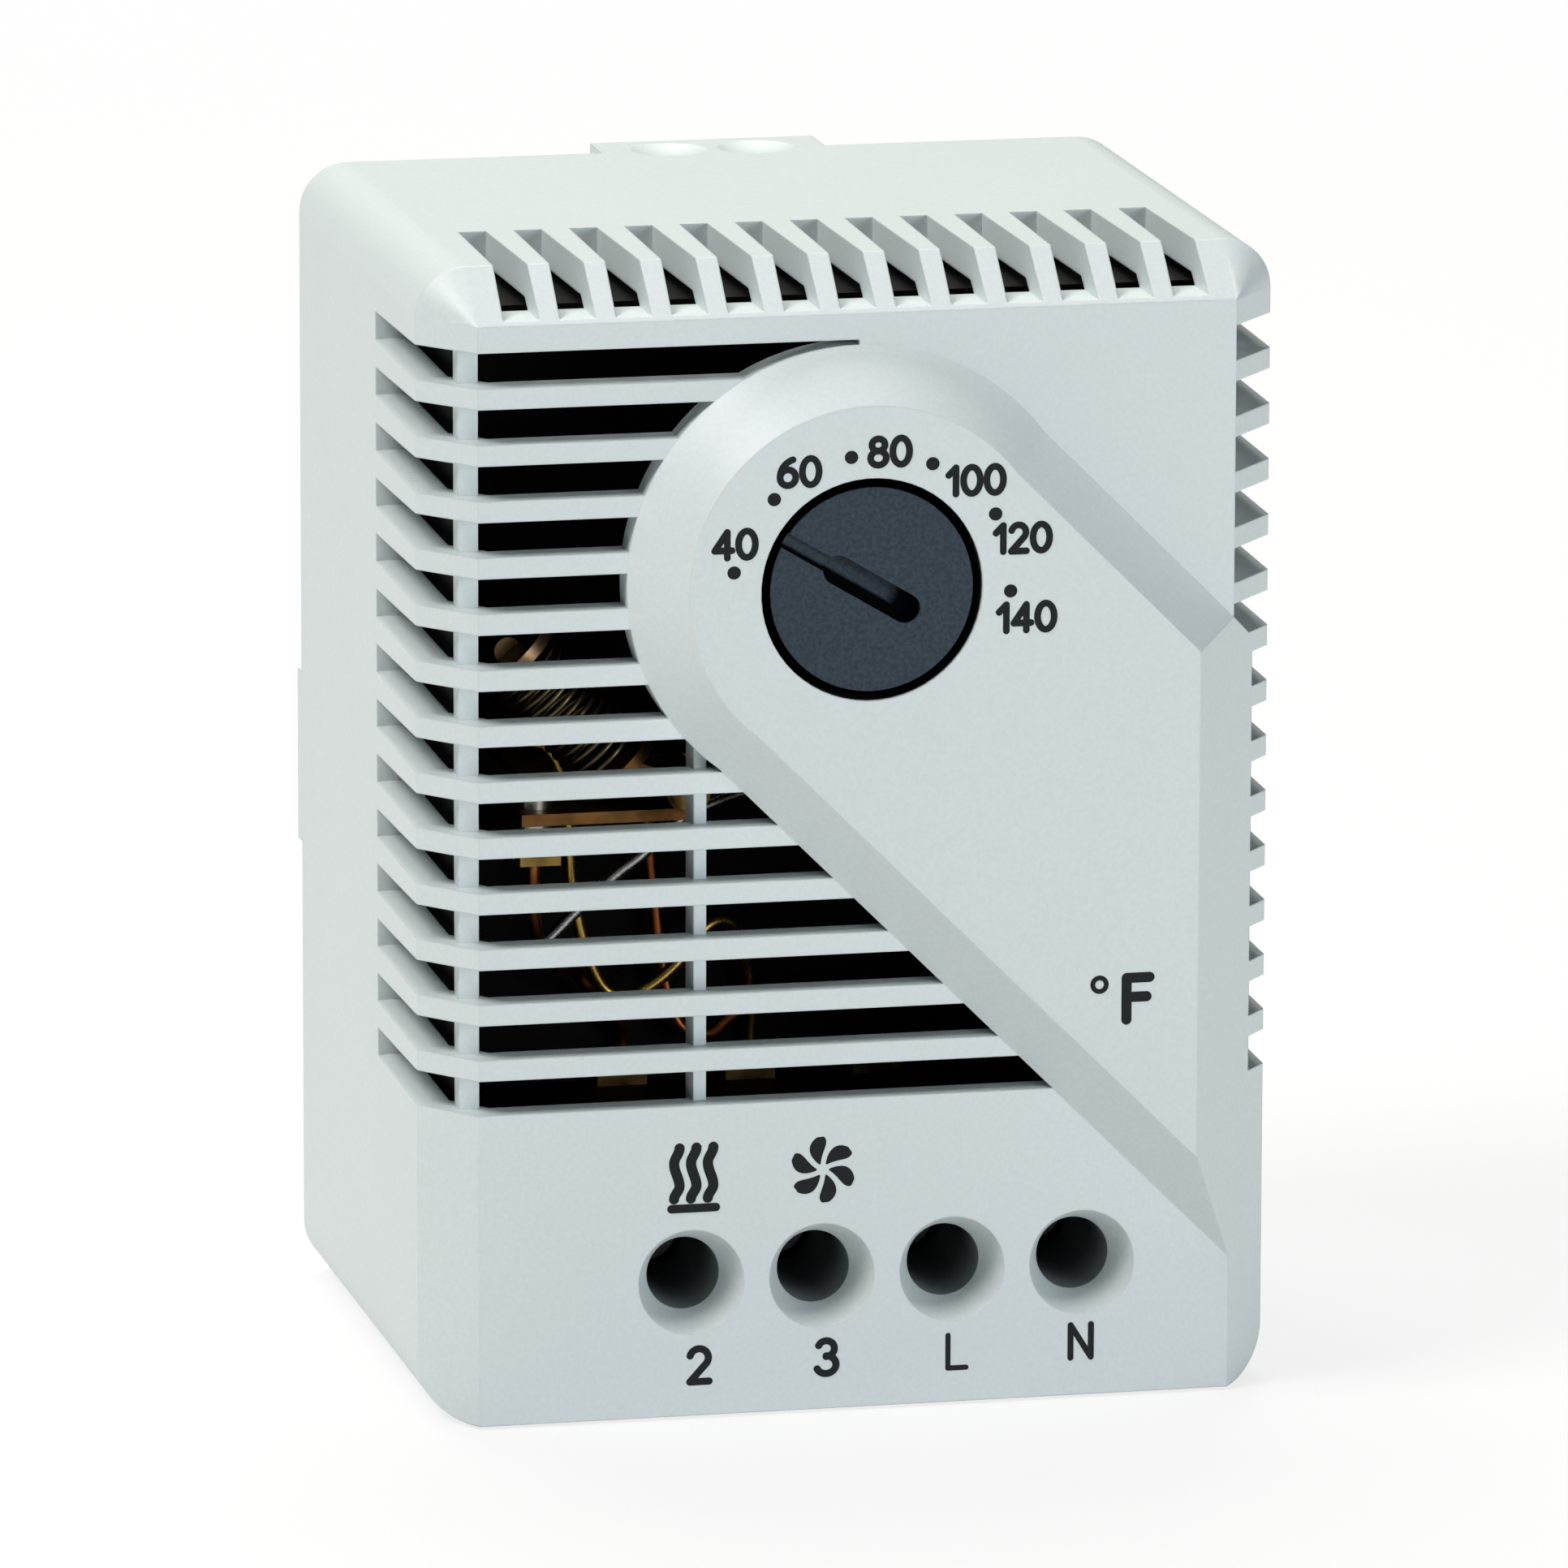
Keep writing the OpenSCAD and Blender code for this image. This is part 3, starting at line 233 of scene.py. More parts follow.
# Worked metal: long fine marks along one axis (0 to 2 for X to Z), from rolling or drawing, spread highlights
# into streaks; dull patches of tarnish are some patchMm across. Real marks are finer than markMm, and longer
# by more than markStretch, and are drawn coarser so that they still show.
def workedMetal(name, colour, tarnish, roughness, markMm, markAxis, tarnishShare=0.4, patchMm=2,
                markStretch=25, markDepthMm=0.01, edgeMm=0.06, smoother=0.08, rougher=0.1, bumpStrength=0.4):
    material, tree = startMaterial(name, colour)
    stretch = [1 / (markMm * mm)] * 3
    stretch[markAxis] /= markStretch
    place = addNode(tree, "ShaderNodeTexCoord")
    along = addNode(tree, "ShaderNodeMapping", {"Scale": stretch}, {"Vector": place.outputs["Object"]})
    marks = addNode(tree, "ShaderNodeTexNoise", {"Scale": 1.0, "Detail": 3.0}, {"Vector": along.outputs[0]})
    patches = addNode(tree, "ShaderNodeTexNoise", {"Scale": 1 / (patchMm * mm), "Detail": 4.0},
                      {"Vector": place.outputs["Object"]})
    share = mapRange(tree, patches.outputs["Fac"], 0.4, 0.75, 0.0, tarnishShare)
    tone = mixColours(tree, share.outputs[0], colour, tarnish)
    rough = mapRange(tree, marks.outputs["Fac"], 0.0, 1.0, roughness - smoother, roughness + rougher)
    soft = addNode(tree, "ShaderNodeBevel", {"Radius": edgeMm * mm}, samples=4)
    bump = addNode(tree, "ShaderNodeBump", {"Strength": bumpStrength, "Distance": markDepthMm * mm},
                   {"Height": marks.outputs["Fac"], "Normal": soft.outputs[0]})
    shader = addNode(tree, "ShaderNodeBsdfPrincipled", {"Metallic": 1.0},
                     {"Base Color": tone, "Roughness": rough.outputs[0], "Normal": bump.outputs[0]})
    endMaterial(tree, shader)
    return material


# Printed ink: a thin matt film, nearly black, that lets a little of the grain under it through
def printedInk(name, colour, thin, filmMm=0.25):
    material, tree = startMaterial(name, colour)
    place = addNode(tree, "ShaderNodeTexCoord")
    film = addNode(tree, "ShaderNodeTexNoise", {"Scale": 1 / (filmMm * mm), "Detail": 2.0},
                   {"Vector": place.outputs["Object"]})
    tone = mixColours(tree, film.outputs["Fac"], colour, thin)
    shader = addNode(tree, "ShaderNodeBsdfPrincipled",
                     {"Roughness": 0.7, "IOR": 1.5, "Specular IOR Level": 0.25}, {"Base Color": tone})
    endMaterial(tree, shader)
    return material


plastics = {
    # light grey ABS, satin: broad soft highlights, and moulded edges that catch a thin line of light,
    # with painted shade round the dial and down the screwdriver tubes
    "housing_shell": {"name": "absLightGreySatin", "colour": "#D5DFDF", "shade": "#D1DBDC",
                      "roughness": 0.46, "grainMm": 0.3, "grainDepthMm": 0.02, "edgeMm": 0.16,
                      "speckle": 0.02, "paintedShade": housingPaintedShade},
    # the same ABS behind, without painted shade
    "rear_moulding": {"name": "absLightGreyRear", "colour": "#D5DFDF", "shade": "#D1DBDC",
                      "roughness": 0.46, "grainMm": 0.3, "grainDepthMm": 0.02, "edgeMm": 0.16,
                      "speckle": 0.02},
    # slate nylon with a coarse grain: matt and plainly speckled, with hardly any mirror,
    # and painted shade in its slot and on its side
    "dial_plastic": {"name": "nylonSlateGrained", "colour": "#2A3945", "shade": "#26343F",
                     "roughness": 0.55, "grainMm": 0.26, "grainDepthMm": 0.05, "edgeMm": 0.1,
                     "speckle": 0.3, "sheen": 0.25, "paintedShade": dialPaintedShade},
    # natural acetal: off-white and waxy, with a soft shine
    "cam_plastic": {"name": "acetalNatural", "colour": "#E4DECB", "shade": "#DDD6C2", "roughness": 0.35,
                    "grainMm": 0.5, "grainDepthMm": 0.005, "edgeMm": 0.1, "speckle": 0.01, "ior": 1.48},
    # dull phenolic: nearly black, so that the metal in front of it stands out
    "chassis_bakelite": {"name": "phenolicDarkBrown", "colour": "#090807", "shade": "#0D0B0A",
                         "roughness": 0.7, "grainMm": 0.6, "grainDepthMm": 0.01, "edgeMm": 0.12,
                         "speckle": 0.05, "ior": 1.6, "sheen": 0.1},
    # black polyamide: an even satin black
    "block_plastic": {"name": "polyamideBlack", "colour": "#15181A", "shade": "#1B1F22", "roughness": 0.5,
                      "grainMm": 0.35, "grainDepthMm": 0.02, "edgeMm": 0.12, "speckle": 0.05},
    # ceramic under a dull coat: chalky brown, without shine
    "ceramic_body": {"name": "ceramicBrownDull", "colour": "#7A6350", "shade": "#6B5646", "roughness": 0.65,
                     "grainMm": 0.4, "grainDepthMm": 0.03, "edgeMm": 0.1, "speckle": 0.05, "ior": 1.6},
}
metals = {
    # zinc plated steel: cool and pale, with a satin streak
    "steel_plated": {"name": "steelZincPlated", "colour": "#C9CBCC", "tarnish": "#A9ABA8",
                     "roughness": 0.32, "markMm": 0.12, "markAxis": 0},
    # drawn spring wire: warm grey, with a bright line on every curl
    "spring_steel": {"name": "springWireDrawn", "colour": "#8E7F5E", "tarnish": "#524834",
                     "roughness": 0.36, "markMm": 0.08, "markAxis": 2, "tarnishShare": 0.8},
    # rolled bimetal: a brownish matt strip
    "bimetal": {"name": "bimetalRolled", "colour": "#94795A", "tarnish": "#5E4A34",
                "roughness": 0.4, "markMm": 0.12, "markAxis": 0, "tarnishShare": 0.8},
    # rolled brass that has gone brown in patches
    "brass": {"name": "brassRolledTarnished", "colour": "#A38347", "tarnish": "#57422A",
              "roughness": 0.38, "markMm": 0.12, "markAxis": 0, "tarnishShare": 0.9},
    # drawn brass wire: bright gold with a sharp glint
    "brass_wire": {"name": "brassWireDrawn", "colour": "#D9B25C", "tarnish": "#A07F3F",
                   "roughness": 0.28, "markMm": 0.06, "markAxis": 2},
    # silver contact alloy: pale and slightly dulled
    "contact_silver": {"name": "silverContact", "colour": "#B9B7AE", "tarnish": "#86837A",
                       "roughness": 0.3, "markMm": 0.1, "markAxis": 2},
    # tinned copper wire: the brightest line inside
    "tinned_wire": {"name": "copperWireTinned", "colour": "#D9DADB", "tarnish": "#B9BAB9",
                    "roughness": 0.25, "markMm": 0.06, "markAxis": 2},
    # bare copper wire: red-brown, and darker where it has aged
    "copper_wire": {"name": "copperWireBare", "colour": "#A35F39", "tarnish": "#57301E",
                    "roughness": 0.34, "markMm": 0.06, "markAxis": 2, "tarnishShare": 0.8},
    # rolled bronze, heavily tarnished: blotched from gold-brown to nearly black
    "bronze_strip": {"name": "bronzeStripTarnished", "colour": "#8A6238", "tarnish": "#35261A",
                     "roughness": 0.42, "markMm": 0.2, "markAxis": 0, "tarnishShare": 0.95},
}
finishes = {slot: mouldedPlastic(**settings) for slot, settings in plastics.items()}
finishes.update({slot: workedMetal(**settings) for slot, settings in metals.items()})
inkFinish = printedInk("inkCharcoalPrinted", "#0E1113", "#1A1F23")

finishOfNode = {part["node"]: part["material_slot"] for part in frame["record"]["subparts"]}
finishOfNode["contact_arm"] = "bronze_strip"  # more tarnished than the rest of its slot
finishOfNode["spring_seat"] = "bimetal"  # browner than the rest of its slot
for nodeName, nodeObject in frame["nodes"].items():
    nodeObject.data.materials.clear()
    nodeObject.data.materials.append(finishes[finishOfNode[nodeName]])
print("materials:", len(finishes) + 1)


# a mesh object at the origin from a whole array of points and a list of faces
def makePiece(name, points, faces, material, smooth=True):
    mesh = bpy.data.meshes.new(name)
    mesh.from_pydata(np.asarray(points, float).tolist(), [], faces)
    mesh.polygons.foreach_set("use_smooth", np.full(len(mesh.polygons), smooth))
    mesh.materials.append(material)
    mesh.update()
    piece = bpy.data.objects.new(name, mesh)
    bpy.context.scene.collection.objects.link(piece)
    return piece


wireSides = 14


# A round wire: at each point of the path, a ring of points at the radius, in the plane across the path.
# The ring's two directions are u = path x side and v = path x u; a point is u * cos(turn) + v * sin(turn).
# Quads join each ring to the following one, and a disc closes each end.
def wireMesh(path, side, radius):
    along = np.gradient(path, axis=0)
    along /= np.linalg.norm(along, axis=1)[:, None]
    u = np.cross(along, np.broadcast_to(side, path.shape))
    u /= np.linalg.norm(u, axis=1)[:, None]
    v = np.cross(along, u)
    turn = np.linspace(0, 2 * math.pi, wireSides, endpoint=False)
    rings = path[:, None] + radius * (np.cos(turn)[:, None] * u[:, None] + np.sin(turn)[:, None] * v[:, None])
    ring, corner = np.meshgrid(np.arange(len(path) - 1) * wireSides, np.arange(wireSides), indexing="ij")
    following = (corner + 1) % wireSides
    quads = [ring + corner, ring + following, ring + wireSides + following, ring + wireSides + corner]
    faces = np.stack(quads, -1).reshape(-1, 4).tolist()
    last = (len(path) - 1) * wireSides
    faces += [list(range(wireSides))[::-1], list(range(last, last + wireSides))]
    return rings.reshape(-1, 3), faces


# A smooth curve through given points: Catmull-Rom, each span the cubic whose slope at a point is half the
# difference of the points on both sides of it
def smoothPath(points, perSpan=6):
    p = np.asarray(points, float)
    p = np.vstack([2 * p[0] - p[1], p, 2 * p[-1] - p[-2]])
    t = np.linspace(0, 1, perSpan, endpoint=False)[:, None]
    a, b, c, d = (p[i:len(p) - 3 + i, None] for i in range(4))
    square = (2 * a - 5 * b + 4 * c - d) * t ** 2
    cube = (3 * b - a - 3 * c + d) * t ** 3
    spans = 0.5 * (2 * b + (c - a) * t + square + cube)
    return np.vstack([spans.reshape(-1, 3), p[-2]])


# A coil up its own axis: its height rises evenly with the turn, with a short straight lead at each end
def coilPath(radius, wire, curls, length, perCurl=48):
    turn = np.linspace(0, curls * 2 * math.pi, curls * perCurl + 1)
    rise = wire + (length - 2 * wire) * turn / turn[-1]
    body = np.stack([radius * np.cos(turn), radius * np.sin(turn), rise], 1)
    foot = [[radius, 0, 0], [radius, 0, wire / 2]]
    return np.vstack([foot, body, body[-1] + [0, 0, wire / 2], body[-1] + [0, 0, wire]])


# tilt is in degrees about Y, from Z towards X
springs = {
    "snapSpring": {"node": "snap_spring", "slot": "spring_steel", "radius": 2.2, "wire": 0.3, "curls": 12,
                   "length": 8.0, "centre": (-15.6, planeY + 8.1, 40.2), "tilt": 138},
    "latchSpring": {"node": "latch_spring", "slot": "spring_steel", "radius": 1.15, "wire": 0.35, "curls": 7,
                    "length": 6.1, "centre": (0, 21.35, 11.85), "tilt": 0},
}
for name, spring in springs.items():
    path = coilPath(spring["radius"], spring["wire"], spring["curls"], spring["length"])
    path[:, 2] -= spring["length"] / 2
    fromAxis = path * [1, 1, 0]
    tilt = math.radians(spring["tilt"])
    turned = np.array([[math.cos(tilt), 0, math.sin(tilt)], [0, 1, 0], [-math.sin(tilt), 0, math.cos(tilt)]])
    points, faces = wireMesh(path @ turned.T + spring["centre"], fromAxis @ turned.T, spring["wire"] / 2)
    coil = makePiece(name, points * mm, faces, finishes[spring["slot"]])
    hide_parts(spring["node"])
    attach(coil, "housing")
    # it stands on the lug at z 8.8, 6.1 long at rest and 4.1 with the latch down
    if name == "latchSpring":
        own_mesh(coil)
print("springs wound:", len(springs))

# The bare leads. Each goes from its start to its end by way points, given as shares of the way in x, depth
# and z: point = start + share * (end - start). Depth is measured back from the louvred plane.
leadRadius = 0.38
leadSide = np.array([0, 0.37, 1.0])  # no lead runs along this direction
leads = {
    "resistorLeadLeft": {
        "slot": "tinned_wire", "node": "resistor_leads",
        "start": (0.5, 14, 33.5), "end": (-17.9, 20.5, 24.2),
        "shares": [(0.08, 0, -0.01), (0.22, -0.03, -0.01), (0.34, -0.09, 0.05), (0.44, -0.12, 0.14),
                   (0.56, -0.12, 0.35), (0.65, -0.12, 0.48), (0.78, -0.12, 0.71), (0.86, -0.12, 0.86),
                   (0.94, -0.07, 0.97), (0.985, 0.12, 1), (1, 0.4, 1)]},
    "resistorLeadRight": {
        "slot": "tinned_wire", "node": "resistor_leads",
        "start": (9, 14, 33.5), "end": (terminalX[3], 19.6, 16.4),
        "shares": [(0.34, 0, 0), (0.69, 0.04, 0.04), (0.92, 0.14, 0.15), (0.98, 0.36, 0.37), (1, 0.68, 0.63),
                   (1, 0.91, 0.81), (1, 1, 0.91)]},
    "heatingLead": {
        "slot": "copper_wire", "node": "heating_lead",
        "start": (-17.3, 8.1, 31.45), "end": (terminalX[0], 19.6, 16.4),
        "shares": [(0, 0, 0.07), (0.01, 0.03, 0.2), (0.08, 0.12, 0.34), (0.2, 0.25, 0.45), (0.37, 0.56, 0.54),
                   (0.57, 0.84, 0.6), (0.73, 0.88, 0.69), (0.95, 0.94, 0.82), (1, 1, 0.91)]},
    "coolingLead": {
        "slot": "brass", "finish": "brass_wire", "node": "cooling_lead",
        "start": (-16.1, 15.5, 36.5), "end": (terminalX[1], 19.6, 16.2),
        "shares": [(0.06, 0, 0), (0.13, 0.02, 0.07), (0.17, 0.07, 0.22), (0.19, 0.12, 0.42),
                   (0.25, 0.17, 0.61), (0.33, 0.22, 0.73), (0.43, 0.24, 0.76), (0.53, 0.24, 0.735),
                   (0.65, 0.27, 0.67), (0.78, 0.35, 0.57), (0.88, 0.48, 0.57), (0.96, 0.7, 0.67),
                   (1, 0.93, 0.84), (1, 1, 0.93)]},
    "commonLead": {
        "slot": "copper_wire", "node": "common_lead",
        "start": (-8.6, 18.4, 34.3), "end": (terminalX[2], 19.6, 16),
        "shares": [(0, 0, 0.06), (0.02, 0.17, 0.23), (0.05, 0.33, 0.45), (0.09, 0.25, 0.7),
                   (0.15, -0.08, 0.85), (0.27, -0.33, 0.88), (0.35, -0.4, 0.83), (0.5, -0.42, 0.76),
                   (0.68, -0.33, 0.75), (0.87, 0.17, 0.81), (0.98, 0.75, 0.89), (1, 1, 0.95)]},
}
for name, lead in leads.items():
    start = np.array(lead["start"], float)
    end = np.array(lead["end"], float)
    route = start + np.vstack([[0, 0, 0], lead["shares"], [1, 1, 1]]) * (end - start)
    points, faces = wireMesh(smoothPath(route + [0, planeY, 0]), leadSide, leadRadius)
    wire = makePiece(name, points * mm, faces, finishes[lead.get("finish", lead["slot"])])
    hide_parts(lead["node"])
    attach(wire, "housing")
print("leads laid:", len(leads))


# points of an ellipse's arc, angles in degrees anticlockwise from the right
def arc(cx, cy, rx, ry, start, end, count=20):
    a = np.radians(np.linspace(start, end, count))
    return np.stack([cx + rx * np.cos(a), cy + ry * np.sin(a)], 1)


# each sign as strokes in a box one unit high: width and centre lines
signStrokes = {
    "0": (0.64, [arc(0.32, 0.5, 0.32, 0.5, 90, 450, 40)]),
    "1": (0.34, [[(0.02, 0.72), (0.3, 1), (0.3, 0)]]),
    "2": (0.6, [np.vstack([arc(0.3, 0.72, 0.28, 0.28, 165, -38), [(0.02, 0), (0.6, 0)]])]),
    "3": (0.6, [np.vstack([arc(0.29, 0.76, 0.25, 0.24, 155, -90), arc(0.29, 0.27, 0.3, 0.27, 90, -155)])]),
    "4": (0.66, [[(0.48, 0), (0.48, 0.98), (0, 0.28), (0.66, 0.28)]]),
    "6": (0.6, [arc(0.3, 0.3, 0.3, 0.3, 0, 360, 30), arc(0.68, 0.32, 0.68, 0.68, 180, 106)]),
    "8": (0.6, [arc(0.3, 0.27, 0.3, 0.27, 0, 360, 30), arc(0.3, 0.77, 0.25, 0.23, 0, 360, 30)]),
    "F": (0.52, [[(0, 0), (0, 1), (0.55, 1)], [(0, 0.54), (0.48, 0.54)]]),
    "L": (0.5, [[(0, 1), (0, 0), (0.55, 0)]]),
    "N": (0.62, [[(0, 0), (0, 1), (0.62, 0), (0.62, 1)]]),
}


# A stroke is a ladder of rungs: pairs of points half a width to each side of the line, square to it.
# Past each end the rungs go on by width / 2 * sin(angle) and shrink to width / 2 * cos(angle), so that the
# ends are round.
def strokeLadder(line, width):
    line = np.asarray(line, float)
    closed = np.linalg.norm(line[0] - line[-1]) < 1e-6
    ends = np.vstack([line[-2], line, line[1]]) if closed else line
    along = np.gradient(ends, axis=0)[1:-1] if closed else np.gradient(ends, axis=0)
    along /= np.linalg.norm(along, axis=1)[:, None]
    beside = np.stack([-along[:, 1], along[:, 0]], 1) * width / 2
    if closed:
        return line + beside, line - beside, True
    angle = np.radians(np.linspace(12, 87, 6))[:, None]
    reach = np.sin(angle) * width / 2
    shrink = np.cos(angle)
    tail = line[0] - reach * along[0]
    head = line[-1] + reach * along[-1]
    left = np.vstack([(tail + shrink * beside[0])[::-1], line + beside, head + shrink * beside[-1]])
    right = np.vstack([(tail - shrink * beside[0])[::-1], line - beside, head - shrink * beside[-1]])
    return left, right, False


# a line with sharp corners as one stroke for each run between them, so that each corner is round
def cornerStrokes(line, width, sharpCosine=0.8):
    line = np.asarray(line, float)
    step = np.diff(line, axis=0)
    step /= np.linalg.norm(step, axis=1)[:, None]
    sharp = [i + 1 for i in range(len(step) - 1) if step[i] @ step[i + 1] < sharpCosine]
    cuts = [0] + sharp + [len(line) - 1]
    return [strokeLadder(line[i:k + 1], width) for i, k in zip(cuts, cuts[1:])]


# Ink on a flat of the housing, whose Y is given. Each stroke is a thin slab, its back sunk in the plastic.
# Strokes that cross stand a few microns apart in height, so that no two faces share a plane.
def inkPiece(name, y, strokes, inkMm=0.012, stepMm=0.004, stepCount=5, sunkMm=0.03):
    points = []
    faces = []
    start = 0
    for k, (left, right, closed) in enumerate(strokes):
        front = y - inkMm - stepMm * (k % stepCount)
        back = y + sunkMm
        count = len(left)
        for flat, level in ((left, front), (right, front), (left, back), (right, back)):
            points.append(np.stack([flat[:, 0], np.full(count, level), flat[:, 1]], 1))
        i = np.arange(count if closed else count - 1)
        following = (i + 1) % count
        for a, b in ((1, 0), (3, 1), (2, 3), (0, 2)):
            quads = [a * count + i, a * count + following, b * count + following, b * count + i]
            faces += (start + np.stack(quads, 1)).tolist()
        if not closed:
            faces += [[start + c * count for c in (2, 3, 1, 0)],
                      [start + c * count + count - 1 for c in (0, 1, 3, 2)]]
        start += 4 * count
    piece = makePiece(name, np.vstack(points) * mm, faces, inkFinish, smooth=False)
    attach(piece, "housing")


# a word's strokes, centred on (x, z)
def wordStrokes(word, x, z, height, width, gap=0.25):
    total = sum(signStrokes[sign][0] for sign in word) + gap * (len(word) - 1)
    at = -total / 2
    placedStrokes = []
    for sign in word:
        signWidth, lines = signStrokes[sign]
        for line in lines:
            placed = (np.asarray(line, float) + [at, -0.5]) * height + [x, z]
            placedStrokes += cornerStrokes(placed, width)
        at += signWidth + gap
    return placedStrokes


# a dot is a stroke of twice dotHalf, so short that only its round ends show
dialMarks = {
    "height": 1.52, "width": 0.39, "dotRadius": 0.38, "dotHalf": 0.01,
    "numbers": {"40": (-7.98, 51.74), "60": (-4.25, 55.78), "80": (1.0, 56.75), "100": (6.0, 54.9),
                "120": (8.75, 51.45), "140": (9.0, 46.85)},
    "dots": [(-8.03, 50.11), (-5.71, 54.25), (-1.24, 56.5), (3.49, 55.95), (7.17, 52.9), (8.07, 48.4)],
}
strokes = []
for word, (x, z) in dialMarks["numbers"].items():
    strokes += wordStrokes(word, x, z, dialMarks["height"], dialMarks["width"])
for x, z in dialMarks["dots"]:
    dot = [(x - dialMarks["dotHalf"], z), (x + dialMarks["dotHalf"], z)]
    strokes.append(strokeLadder(dot, 2 * dialMarks["dotRadius"]))
inkPiece("dialScale", panelY, strokes)

unitMark = {"x": 15.05, "low": 23.02, "height": 2.45, "width": 0.6, "ringX": 13.45, "ringZ": 25.15,
            "ringRadius": 0.4, "ringWidth": 0.28}
strokes = []
for line in signStrokes["F"][1]:
    placed = np.asarray(line, float) * unitMark["height"] + [unitMark["x"], unitMark["low"]]
    strokes += cornerStrokes(placed, unitMark["width"])
ring = arc(unitMark["ringX"], unitMark["ringZ"], unitMark["ringRadius"], unitMark["ringRadius"], 0, 360, 30)
strokes.append(strokeLadder(ring, unitMark["ringWidth"]))
inkPiece("unitMark", panelY, strokes)

# for each sign its x, its z and its stroke's width
terminalMarks = {"height": 1.95, "signs": {"2": (-9.24, 2.98, 0.43), "3": (-1.73, 3.05, 0.42),
                                           "L": (5.95, 2.98, 0.31), "N": (13.35, 3.2, 0.35)}}
strokes = []
for sign, (x, z, width) in terminalMarks["signs"].items():
    strokes += wordStrokes(sign, x, z, terminalMarks["height"], width)
inkPiece("terminalMarks", planeY, strokes)

# Heat: three upright waves over a bar. A wave's x is -swing * cos(phase), and the phase runs through three
# half turns, which end at the crests, given as shares of the height.
heatMark = {"x": -9.57, "low": 12.87, "high": 15.87, "swing": 0.16, "spacing": 0.99, "width": 0.6,
            "crests": [0, 0.25, 0.7, 1], "barZ": 12.3, "barHalf": 1.3, "barWidth": 0.5}
rise = np.linspace(0, 1, 30)
phase = np.interp(rise, heatMark["crests"], np.arange(4) * math.pi)
waveZ = heatMark["low"] + rise * (heatMark["high"] - heatMark["low"])
strokes = []
for k in (-1, 0, 1):
    waveX = heatMark["x"] + k * heatMark["spacing"] - heatMark["swing"] * np.cos(phase)
    strokes.append(strokeLadder(np.stack([waveX, waveZ], 1), heatMark["width"]))
bar = [(heatMark["x"] + end * heatMark["barHalf"], heatMark["barZ"]) for end in (-1, 1)]
strokes.append(strokeLadder(bar, heatMark["barWidth"]))
inkPiece("heatMark", planeY, strokes)

# Fan: petals on lines that go out from the middle and bend a little, t from 0 to 1 along a line.
# A petal's half width is halfWidth * sin(pi * t ^ outward) ^ fullness.
fanMark = {"x": -1.97, "z": 14.19, "petals": 6, "inner": 0.29, "outer": 2.02, "halfWidth": 0.49, "bend": 26,
           "straightAt": 0.4, "first": 109, "outward": 1.7, "fullness": 0.6}
t = np.linspace(0, 1, 24)[1:-1]
half = fanMark["halfWidth"] * np.sin(math.pi * t ** fanMark["outward"]) ** fanMark["fullness"]
reach = fanMark["inner"] + (fanMark["outer"] - fanMark["inner"]) * t
bend = math.radians(fanMark["bend"]) * (t - fanMark["straightAt"])
strokes = []
for k in range(fanMark["petals"]):
    turn = math.radians(fanMark["first"] + 360 / fanMark["petals"] * k) - bend
    middle = np.stack([reach * np.cos(turn), reach * np.sin(turn)], 1) + [fanMark["x"], fanMark["z"]]
    beside = np.stack([-np.sin(turn), np.cos(turn)], 1) * half[:, None]
    strokes.append((middle + beside, middle - beside, False))
inkPiece("fanMark", planeY, strokes)
print("markings printed")

# The floor and the space round it are white to the camera and in reflections, and plain pale to the light.
# Near the part the floor keeps a share of its light and shadow, and loses it from shadowTo to whiteFrom.
stageSet = {"floorHex": "#F2F3F4", "floorSide": 6.0, "floorZ": -0.0002, "keepShadow": 0.22, "shadowTo": 0.25,
            "whiteFrom": 0.55, "skyStrength": 0.03}
side = stageSet["floorSide"] / 2
corners = [(x * side, y * side, stageSet["floorZ"]) for x, y in ((-1, -1), (1, -1), (1, 1), (-1, 1))]
floorMesh = bpy.data.meshes.new("floor")
floorMesh.from_pydata(corners, [], [(0, 1, 2, 3)])
floor = bpy.data.objects.new("floor", floorMesh)
bpy.context.scene.collection.objects.link(floor)
material, tree = startMaterial("floorPale", stageSet["floorHex"])
matt = addNode(tree, "ShaderNodeBsdfDiffuse", {"Color": hexLinear(stageSet["floorHex"])})
glow = addNode(tree, "ShaderNodeEmission", {"Color": (1, 1, 1, 1), "Strength": 1.0})
ray = addNode(tree, "ShaderNodeLightPath")
seen = addNode(tree, "ShaderNodeMath", {}, {0: ray.outputs["Is Camera Ray"], 1: ray.outputs["Is Glossy Ray"]},
               operation="MAXIMUM")
place = addNode(tree, "ShaderNodeTexCoord")
away = addNode(tree, "ShaderNodeVectorMath", {}, {0: place.outputs["Object"]}, operation="LENGTH")
white = mapRange(tree, away.outputs["Value"], stageSet["shadowTo"], stageSet["whiteFrom"],
                 1 - stageSet["keepShadow"], 1.0)
share = combine(tree, "MULTIPLY", seen, white)
surface = addNode(tree, "ShaderNodeMixShader", {},
                  {0: share.outputs[0], 1: matt.outputs[0], 2: glow.outputs[0]})
endMaterial(tree, surface)
floorMesh.materials.append(material)

world = bpy.data.worlds.new("studio")
bpy.context.scene.world = world
world.use_nodes = True
tree = world.node_tree
tree.nodes.clear()
ray = addNode(tree, "ShaderNodeLightPath")
seen = addNode(tree, "ShaderNodeMath", {},
               {0: ray.outputs["Is Camera Ray"], 1: ray.outputs["Is Transmission Ray"]}, operation="MAXIMUM")
level = mapRange(tree, seen.outputs[0], 0.0, 1.0, stageSet["skyStrength"], 1.0)
sky = addNode(tree, "ShaderNodeBackground", {"Color": (1, 1, 1, 1)}, {"Strength": level.outputs[0]})
addNode(tree, "ShaderNodeOutputWorld", links={"Surface": sky.outputs[0]})

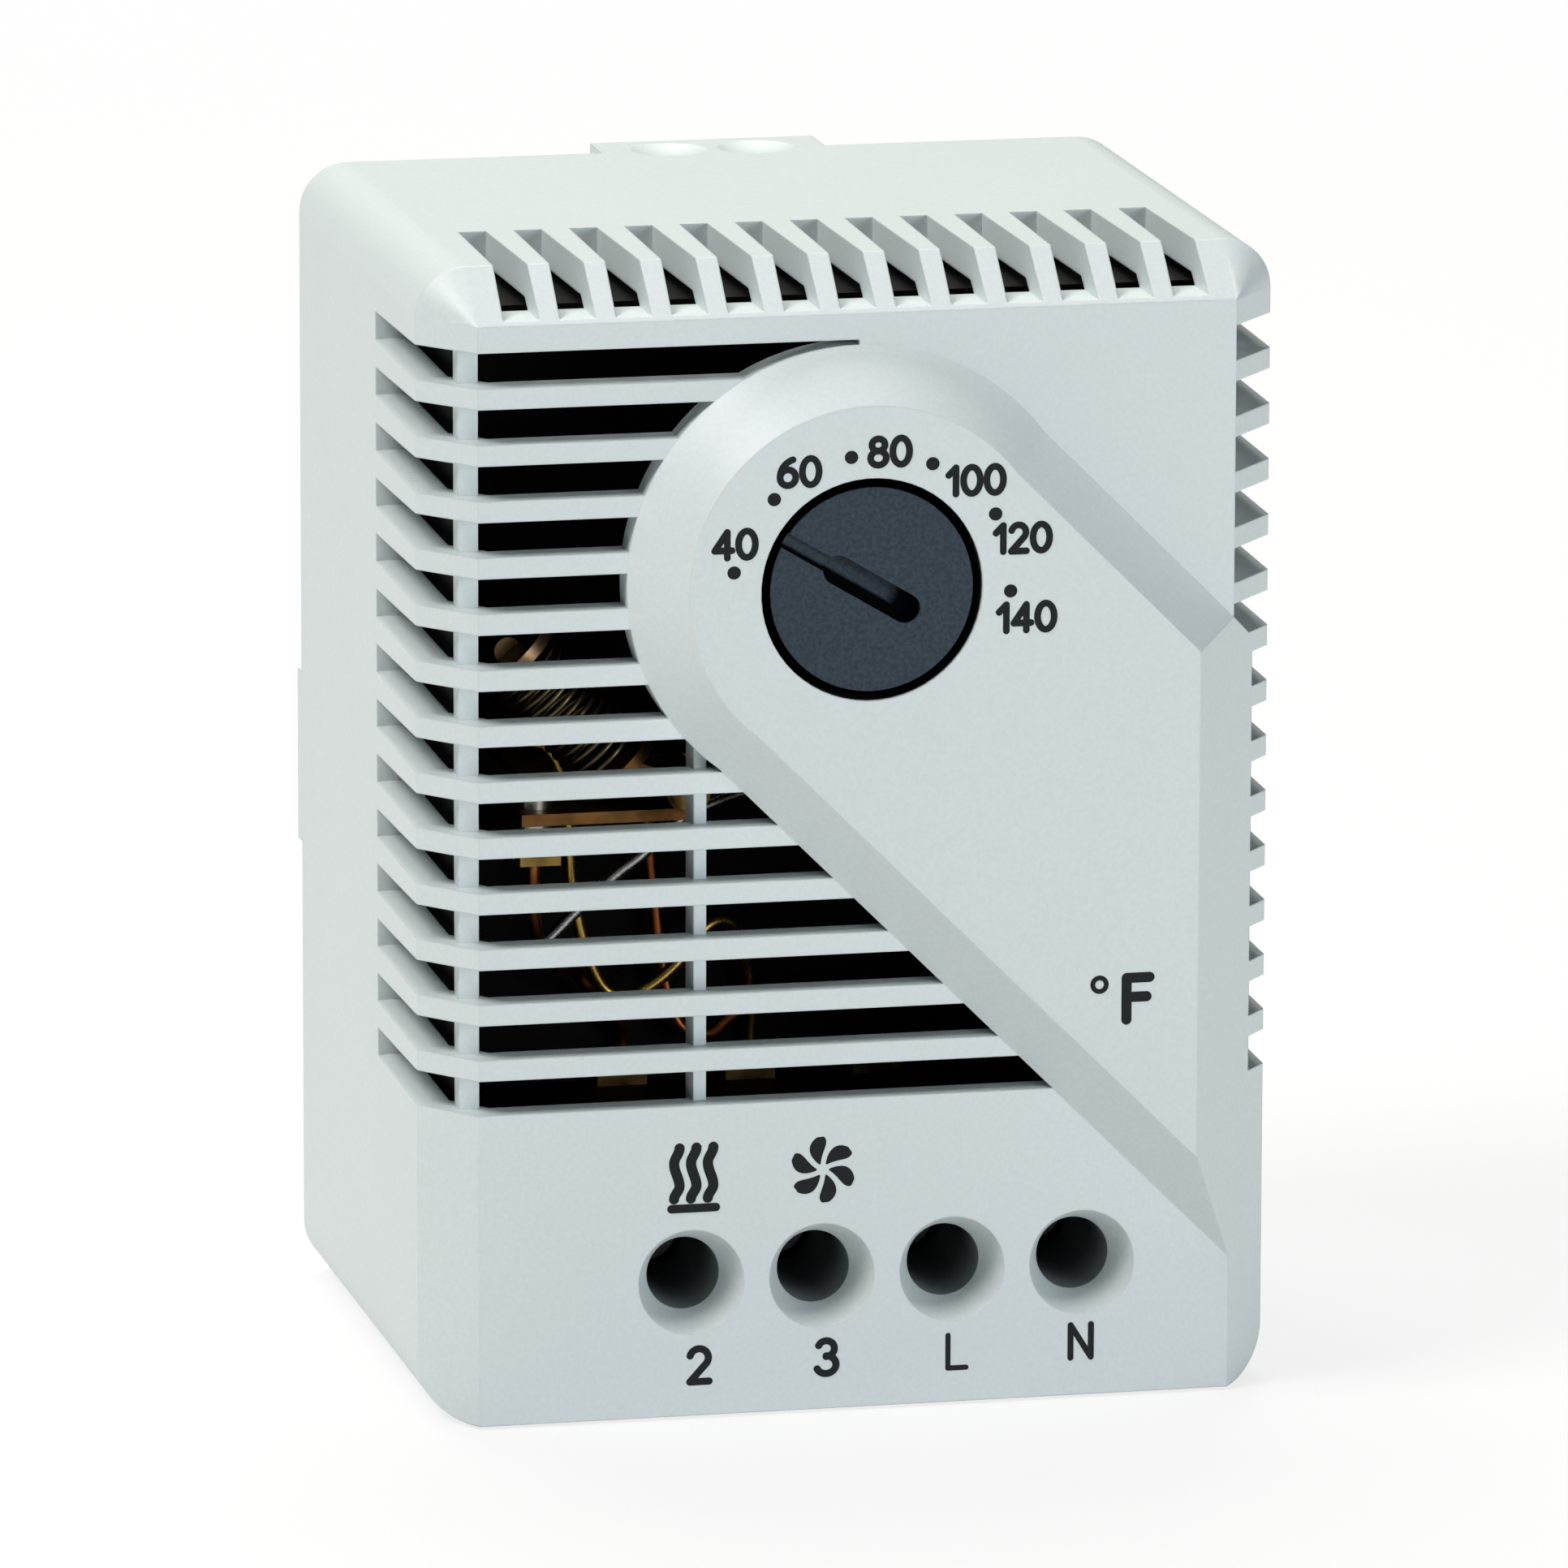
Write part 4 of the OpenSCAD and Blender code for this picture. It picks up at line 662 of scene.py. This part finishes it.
# A lamp's place is an azimuth and an elevation in degrees round the housing's middle, and metres from it.
# The key is small, for a clear highlight on the panel's bevel; the other two are wide, for soft shadows.
lamps = {
    "keyUpperLeft": {"azimuth": -70, "elevation": 53, "distance": 0.9, "size": 0.34, "watts": 5.75,
                     "hex": "#FFFBF8"},
    "topBehind": {"azimuth": 180, "elevation": 60, "distance": 0.8, "size": 0.5, "watts": 4.95,
                  "hex": "#FFFEF6"},
    "frontRight": {"azimuth": 27, "elevation": 8, "distance": 1.0, "size": 0.4, "watts": 4.05,
                   "hex": "#F4F8FF"},
}
housingMiddle = Vector((0, 0, 0.034))


# the direction outwards at an azimuth, from the front (-Y) towards +X, and an elevation
def outward(azimuth, elevation):
    a = math.radians(azimuth)
    e = math.radians(elevation)
    return Vector((math.sin(a) * math.cos(e), -math.cos(a) * math.cos(e), math.sin(e)))


for name, lamp in lamps.items():
    light = bpy.data.lights.new(name, "AREA")
    light.shape = "SQUARE"
    light.size = lamp["size"]
    light.energy = lamp["watts"]
    light.color = hexLinear(lamp["hex"])[:3]
    holder = bpy.data.objects.new(name, light)
    away = outward(lamp["azimuth"], lamp["elevation"])
    holder.location = housingMiddle + away * lamp["distance"]
    holder.rotation_euler = (-away).to_track_quat("-Z", "Y").to_euler()
    bpy.context.scene.collection.objects.link(holder)

cameraSet = {"azimuth": -12.6, "elevation": 12.3, "roll": 0.15, "lens": 325.5, "sensor": 36,
             "distance": 0.811, "aim": (-0.00397, -0.01792, 0.03662), "nearest": 0.05, "farthest": 20}
cameraData = bpy.data.cameras.new("photoCamera")
cameraData.lens = cameraSet["lens"]
cameraData.sensor_width = cameraSet["sensor"]
cameraData.clip_start = cameraSet["nearest"]
cameraData.clip_end = cameraSet["farthest"]
camera = bpy.data.objects.new("photoCamera", cameraData)
away = outward(cameraSet["azimuth"], cameraSet["elevation"])
camera.location = Vector(cameraSet["aim"]) + away * cameraSet["distance"]
facing = (-away).to_track_quat("-Z", "Y")
camera.rotation_euler = (Quaternion(away, math.radians(cameraSet["roll"])) @ facing).to_euler()
bpy.context.scene.collection.objects.link(camera)
bpy.context.scene.camera = camera
bpy.context.scene.view_settings.view_transform = "Standard"
print("stage, lamps and camera set")
